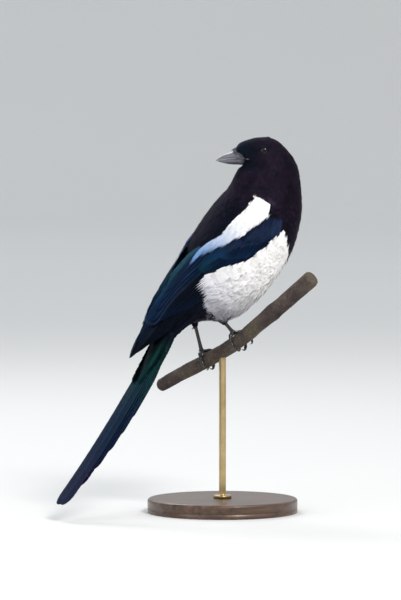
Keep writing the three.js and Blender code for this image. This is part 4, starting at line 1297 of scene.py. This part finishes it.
class Look:
    """A material's node tree, with short ways to add and join nodes."""

    def __init__(self, name, **values):
        self.material = bpy.data.materials.new(name)
        self.material.use_nodes = True
        self.tree = self.material.node_tree
        self.shader = self.tree.nodes["Principled BSDF"]
        for key, value in values.items():
            self.shader.inputs[key.replace("_", " ").title().replace("Ior", "IOR")].default_value = value

    def node(self, kind, inputs=(), **settings):
        """A new node with its settings and the values of named inputs."""
        made = self.tree.nodes.new(kind)
        for key, value in settings.items():
            setattr(made, key, value)
        for key, value in dict(inputs).items():
            made.inputs[key].default_value = value
        return made

    def join(self, source, target, name):
        self.tree.links.new(source, target.inputs[name])

    def base(self, colour):
        self.join(colour, self.shader, "Base Color")

    def textured(self, kind, inputs, stretch=(1.0, 1.0, 1.0)):
        """A texture on the piece's own coordinates, stretched by axis."""
        spot, mapping = self.node("ShaderNodeTexCoord"), self.node("ShaderNodeMapping", {"Scale": stretch})
        self.join(spot.outputs["Object"], mapping, "Vector")
        made = self.node(kind, inputs)
        self.join(mapping.outputs["Vector"], made, "Vector")
        return made

    def noise(self, scale, detail=3.0, roughness=0.55, **where):
        inputs = {"Scale": scale, "Detail": detail, "Roughness": roughness}
        return self.textured("ShaderNodeTexNoise", inputs, **where)

    def sums(self, operation, first, *second):
        """Arithmetic on sockets and plain numbers."""
        made = self.node("ShaderNodeMath", operation=operation)
        for n, value in enumerate((first, *second)):
            if isinstance(value, float):
                made.inputs[n].default_value = value
            else:
                self.join(value, made, n)
        return made.outputs[0]

    def barbs(self, count):
        """A wave along the vane that slants with the distance from the shaft, as barbs do."""
        parts = self.node("ShaderNodeSeparateXYZ")
        self.join(self.node("ShaderNodeUVMap", uv_map="vane").outputs["UV"], parts, "Vector")
        aside = self.sums("ABSOLUTE", self.sums("SUBTRACT", parts.outputs["X"], 0.5), 0.0)
        slant = self.sums("SUBTRACT", parts.outputs["Y"], self.sums("MULTIPLY", aside, 0.35))
        return self.sums("SINE", self.sums("MULTIPLY", slant, 6.2832 * count))

    def ramp(self, source, stops, socket="Fac"):
        """The colours of (place, colour) stops for a source's values."""
        made = self.node("ShaderNodeValToRGB")
        ends = made.color_ramp.elements
        for end, (position, colour) in zip(ends, (stops[0], stops[-1])):
            end.position, end.color = position, (*colour, 1)
        for position, colour in stops[1:-1]:
            ends.new(position).color = (*colour, 1)
        self.join(source.outputs[socket], made, "Fac")
        return made.outputs["Color"]

    def multiplied(self, first, second):
        """Two colours multiplied."""
        made = self.node("ShaderNodeMix", {"Factor": 1.0}, data_type="RGBA", blend_type="MULTIPLY")
        self.join(first, made, 6)
        self.join(second, made, 7)
        return made.outputs[2]

    def tint(self):
        return self.node("ShaderNodeAttribute", attribute_name="tint").outputs["Color"]

    def bump(self, height, strength, distance, before=None):
        """Relief by height, over the relief before it."""
        made = self.node("ShaderNodeBump", {"Strength": strength, "Distance": distance})
        self.join(height, made, "Height")
        if before is not None:
            self.join(before, made, "Normal")
        self.join(made.outputs["Normal"], self.shader, "Normal")
        return made.outputs["Normal"]


def feather_look(name, barbs, relief, variation, **values):
    """Plumage: the piece's own tint, varied by noise over the body, with fine barbs that slant
    from the shaft as a bump on the vane's own map."""
    look = Look(name, **values)
    shade = look.ramp(look.noise(140), [(0.3, (1 - variation,) * 3), (0.7, (1, 1, 1))])
    look.base(look.multiplied(look.tint(), shade))
    look.bump(look.barbs(barbs), relief, 0.0004)
    return look.material


def clouded_look(name, noise, stops, relief=None, stretch=(1, 1, 1), grain_stretch=(1, 1, 1), **values):
    """A plain stuff whose colour follows a noise, with the relief of a finer one: its noise, its
    strength and its depth in metres."""
    look = Look(name, **values)
    look.base(look.ramp(look.noise(*noise, stretch=stretch), stops))
    if relief:
        grain, strength, depth = relief
        look.bump(look.noise(*grain, stretch=grain_stretch).outputs["Fac"], strength, depth)
    return look.material


def horn_look(name, colours, roughness, coat):
    """Horn: dark, with pale streaks along it, fine pits and a polish."""
    stops = list(zip((0.32, 0.6, 0.78), colours))
    polish = dict(roughness=roughness, coat_weight=coat, coat_roughness=0.12)
    return clouded_look(name, (90, 4), stops, ((900, 3), 0.18, 0.0002), stretch=(1, 1, 3), **polish)


def bark_look():
    """Bark: purple-grey brown with olive patches, pale flecks and cracks along the branch."""
    look = Look("bark", roughness=0.86, specular_ior_level=0.3)
    browns = [(0.3, (0.026, 0.018, 0.018)), (0.47, (0.070, 0.052, 0.047)), (0.6, (0.115, 0.088, 0.070))]
    colour = look.ramp(look.noise(38, 5, 0.62), [*browns, (0.74, (0.085, 0.080, 0.038))])
    pale = look.ramp(look.noise(420, 4, 0.6), [(0.5, (0.75, 0.75, 0.75)), (0.7, (1.25, 1.22, 1.2))])
    look.base(look.multiplied(colour, pale))
    first = look.bump(look.noise(260, 6, 0.65).outputs["Fac"], 0.7, 0.0012)
    look.bump(look.noise(1300).outputs["Fac"], 0.35, 0.0004, first)
    return look.material


def scale_look():
    """Leg skin: near black and waxy, in small scales."""
    look = Look("leg_skin", roughness=0.36, coat_weight=0.2, coat_roughness=0.2)
    cells = look.textured("ShaderNodeTexVoronoi", {"Scale": 900})
    look.base(look.ramp(cells, [(0.0, (0.018, 0.018, 0.021)), (0.8, (0.006, 0.006, 0.007))], "Distance"))
    look.bump(cells.outputs["Distance"], 0.3, 0.0002)
    return look.material


def eye_look():
    """A dark brown iris round a black pupil, from the eye's own tint, flecked, under a wet clear
    coat."""
    look = Look("eye", roughness=0.25, specular_ior_level=0.0, coat_weight=0.6, coat_roughness=0.02)
    fleck = look.ramp(look.noise(1400), [(0.35, (0.55, 0.55, 0.55)), (0.7, (1.2, 1.2, 1.2))])
    look.base(look.multiplied(look.tint(), fleck))
    return look.material


def flesh_look():
    """Dull pinkish skin at the corner of the mouth, mottled with grey."""
    stops = [(0.35, (0.05, 0.035, 0.045)), (0.65, (0.15, 0.085, 0.11))]
    relief = ((2500, 2), 0.2, 0.0002)
    return clouded_look("gape_skin", (700, 3), stops, relief, roughness=0.5, specular_ior_level=0.3)


def wood_look():
    """Dark turned wood: grain as stretched noise along x, with fine pores."""
    stops = [(0.3, (0.028, 0.012, 0.006)), (0.5, (0.075, 0.036, 0.018)), (0.72, (0.13, 0.066, 0.034))]
    relief = ((160, 5, 0.7), 0.2, 0.0003)
    polish = dict(roughness=0.38, coat_weight=0.3, coat_roughness=0.2)
    return clouded_look("turned_wood", (22, 6, 0.6), stops, relief, (1, 9, 9), (1, 12, 12), **polish)


def brass_look():
    """Aged brass with a brushed finish."""
    stops = [(0.3, (0.42, 0.3, 0.14)), (0.7, (0.62, 0.48, 0.26))]
    relief = ((500, 3), 0.12, 0.0002)
    brushed = dict(grain_stretch=(3, 3, 0.3), metallic=1.0, roughness=0.3)
    return clouded_look("aged_brass", (60, 4), stops, relief, **brushed)


def floor_look():
    """Plain pale floor."""
    stops = [(0.0, (0.68, 0.68, 0.675)), (1.0, (0.72, 0.72, 0.715))]
    return clouded_look("pale_floor", (0.6, 2), stops, roughness=0.9)


# Stage


def aimed(name, data, place, way):
    """A lamp or camera at a place in metres that looks along a direction, with its top up."""
    holder = bpy.data.objects.new(name, data)
    bpy.context.scene.collection.objects.link(holder)
    way = unit(way)
    holder.location = place
    holder.rotation_euler = (math.acos(-way[2]), 0.0, math.atan2(-way[0], way[1]))
    return holder


def make_stage():
    """A round pale floor that curves up far away, soft lights and the camera."""
    rise = 2.5 / MM
    flat = FLOOR_RADIUS / MM
    profile = [(0.01, 0)] + [(r, 0) for r in np.linspace(400, flat, 20)]
    profile += arc((flat, rise), rise, -88, 0, 24) + [(flat + rise, rise * 1.4)]
    floor = new_object("floor", turned_rings(profile, 96), triangles(ring_faces(len(profile), 96)))
    floor.data.materials.append(floor_look())
    world = bpy.data.worlds.new("studio")
    bpy.context.scene.world = world
    world.use_nodes = True
    sky = world.node_tree.nodes["Background"].inputs
    sky["Color"].default_value = (0.94, 0.97, 1.0, 1)
    sky["Strength"].default_value = 0.9
    bpy.context.scene.view_settings.view_transform = "Standard"
    turn = math.radians(CAMERA_AZIMUTH)
    right = np.array([math.cos(turn), math.sin(turn), 0])
    towards = np.array([math.sin(turn), -math.cos(turn), 0])
    middle = np.array([-0.02, 0.0, 0.27])
    # Metres across, towards the camera and up from the middle, size, watts, colour
    lights = {
        "key": (0.9, 1.5, 1.6, 0.6, 36, (1.0, 0.97, 0.93)),
        "fill": (-1.7, 1.4, 0.7, 1.6, 9, (0.9, 0.95, 1.0)),
        "rim": (-0.7, -1.4, 1.5, 0.8, 14, (1.0, 1.0, 1.0)),
    }
    for name, (across, near, high, size, power, colour) in lights.items():
        lamp = bpy.data.lights.new(name, "AREA")
        lamp.size = size
        lamp.energy = power
        lamp.color = colour
        place = middle + right * across + towards * near + UP * high
        aimed(name, lamp, place, middle - place)
    camera = bpy.data.cameras.new("camera")
    camera.sensor_fit = "HORIZONTAL"
    camera.lens = camera.sensor_width * CAMERA_AWAY / FRAME_WIDTH
    camera.clip_end = 60
    lean = math.radians(CAMERA_RISE)
    back = towards * math.cos(lean) + UP * math.sin(lean)
    upward = UP * math.cos(lean) - towards * math.sin(lean)
    target = right * FRAME_MIDDLE[0] + upward * FRAME_MIDDLE[1]
    bpy.context.scene.camera = aimed("camera", camera, target + back * CAMERA_AWAY, -back)


def main():
    """Makes every piece, then the stage."""
    dark = dict(roughness=0.4, metallic=0.6, specular_ior_level=0.15, specular_tint=(0.45, 0.38, 0.5, 1))
    sheen = dict(roughness=0.33, metallic=0.65, specular_ior_level=0.2, specular_tint=(0.4, 0.55, 0.7, 1))
    black = feather_look("black_plumage", 20.0, 0.3, 0.4, **dark)
    white = feather_look("white_plumage", 22.0, 0.12, 0.05, roughness=0.85, specular_ior_level=0.2)
    gloss = feather_look("glossy_plumage", 46.0, 0.6, 0.3, **sheen)
    horn = horn_look("bill", ((0.07, 0.07, 0.085), (0.125, 0.12, 0.15), (0.24, 0.235, 0.28)), 0.22, 0.5)
    claw = horn_look("claw", ((0.010, 0.010, 0.011), (0.02, 0.02, 0.022), (0.05, 0.048, 0.048)), 0.3, 0.4)
    make_skin(black)
    make_body_coat(black, white)
    make_head_coat(black)
    make_sock_coat(black)
    for name, side in SIDES.items():
        make_wing_arm(name, side, black)
        make_wing(name, side, gloss)
        make_shoulder(name, side, white)
        make_flank(name, side, white)
    make_tail(gloss, black)
    make_bill(horn)
    make_bristles(black)
    make_gape(flesh_look())
    make_eyes(eye_look(), black)
    make_legs(scale_look(), claw)
    make_perch(bark_look())
    make_stand(wood_look(), brass_look())
    make_stage()


main()
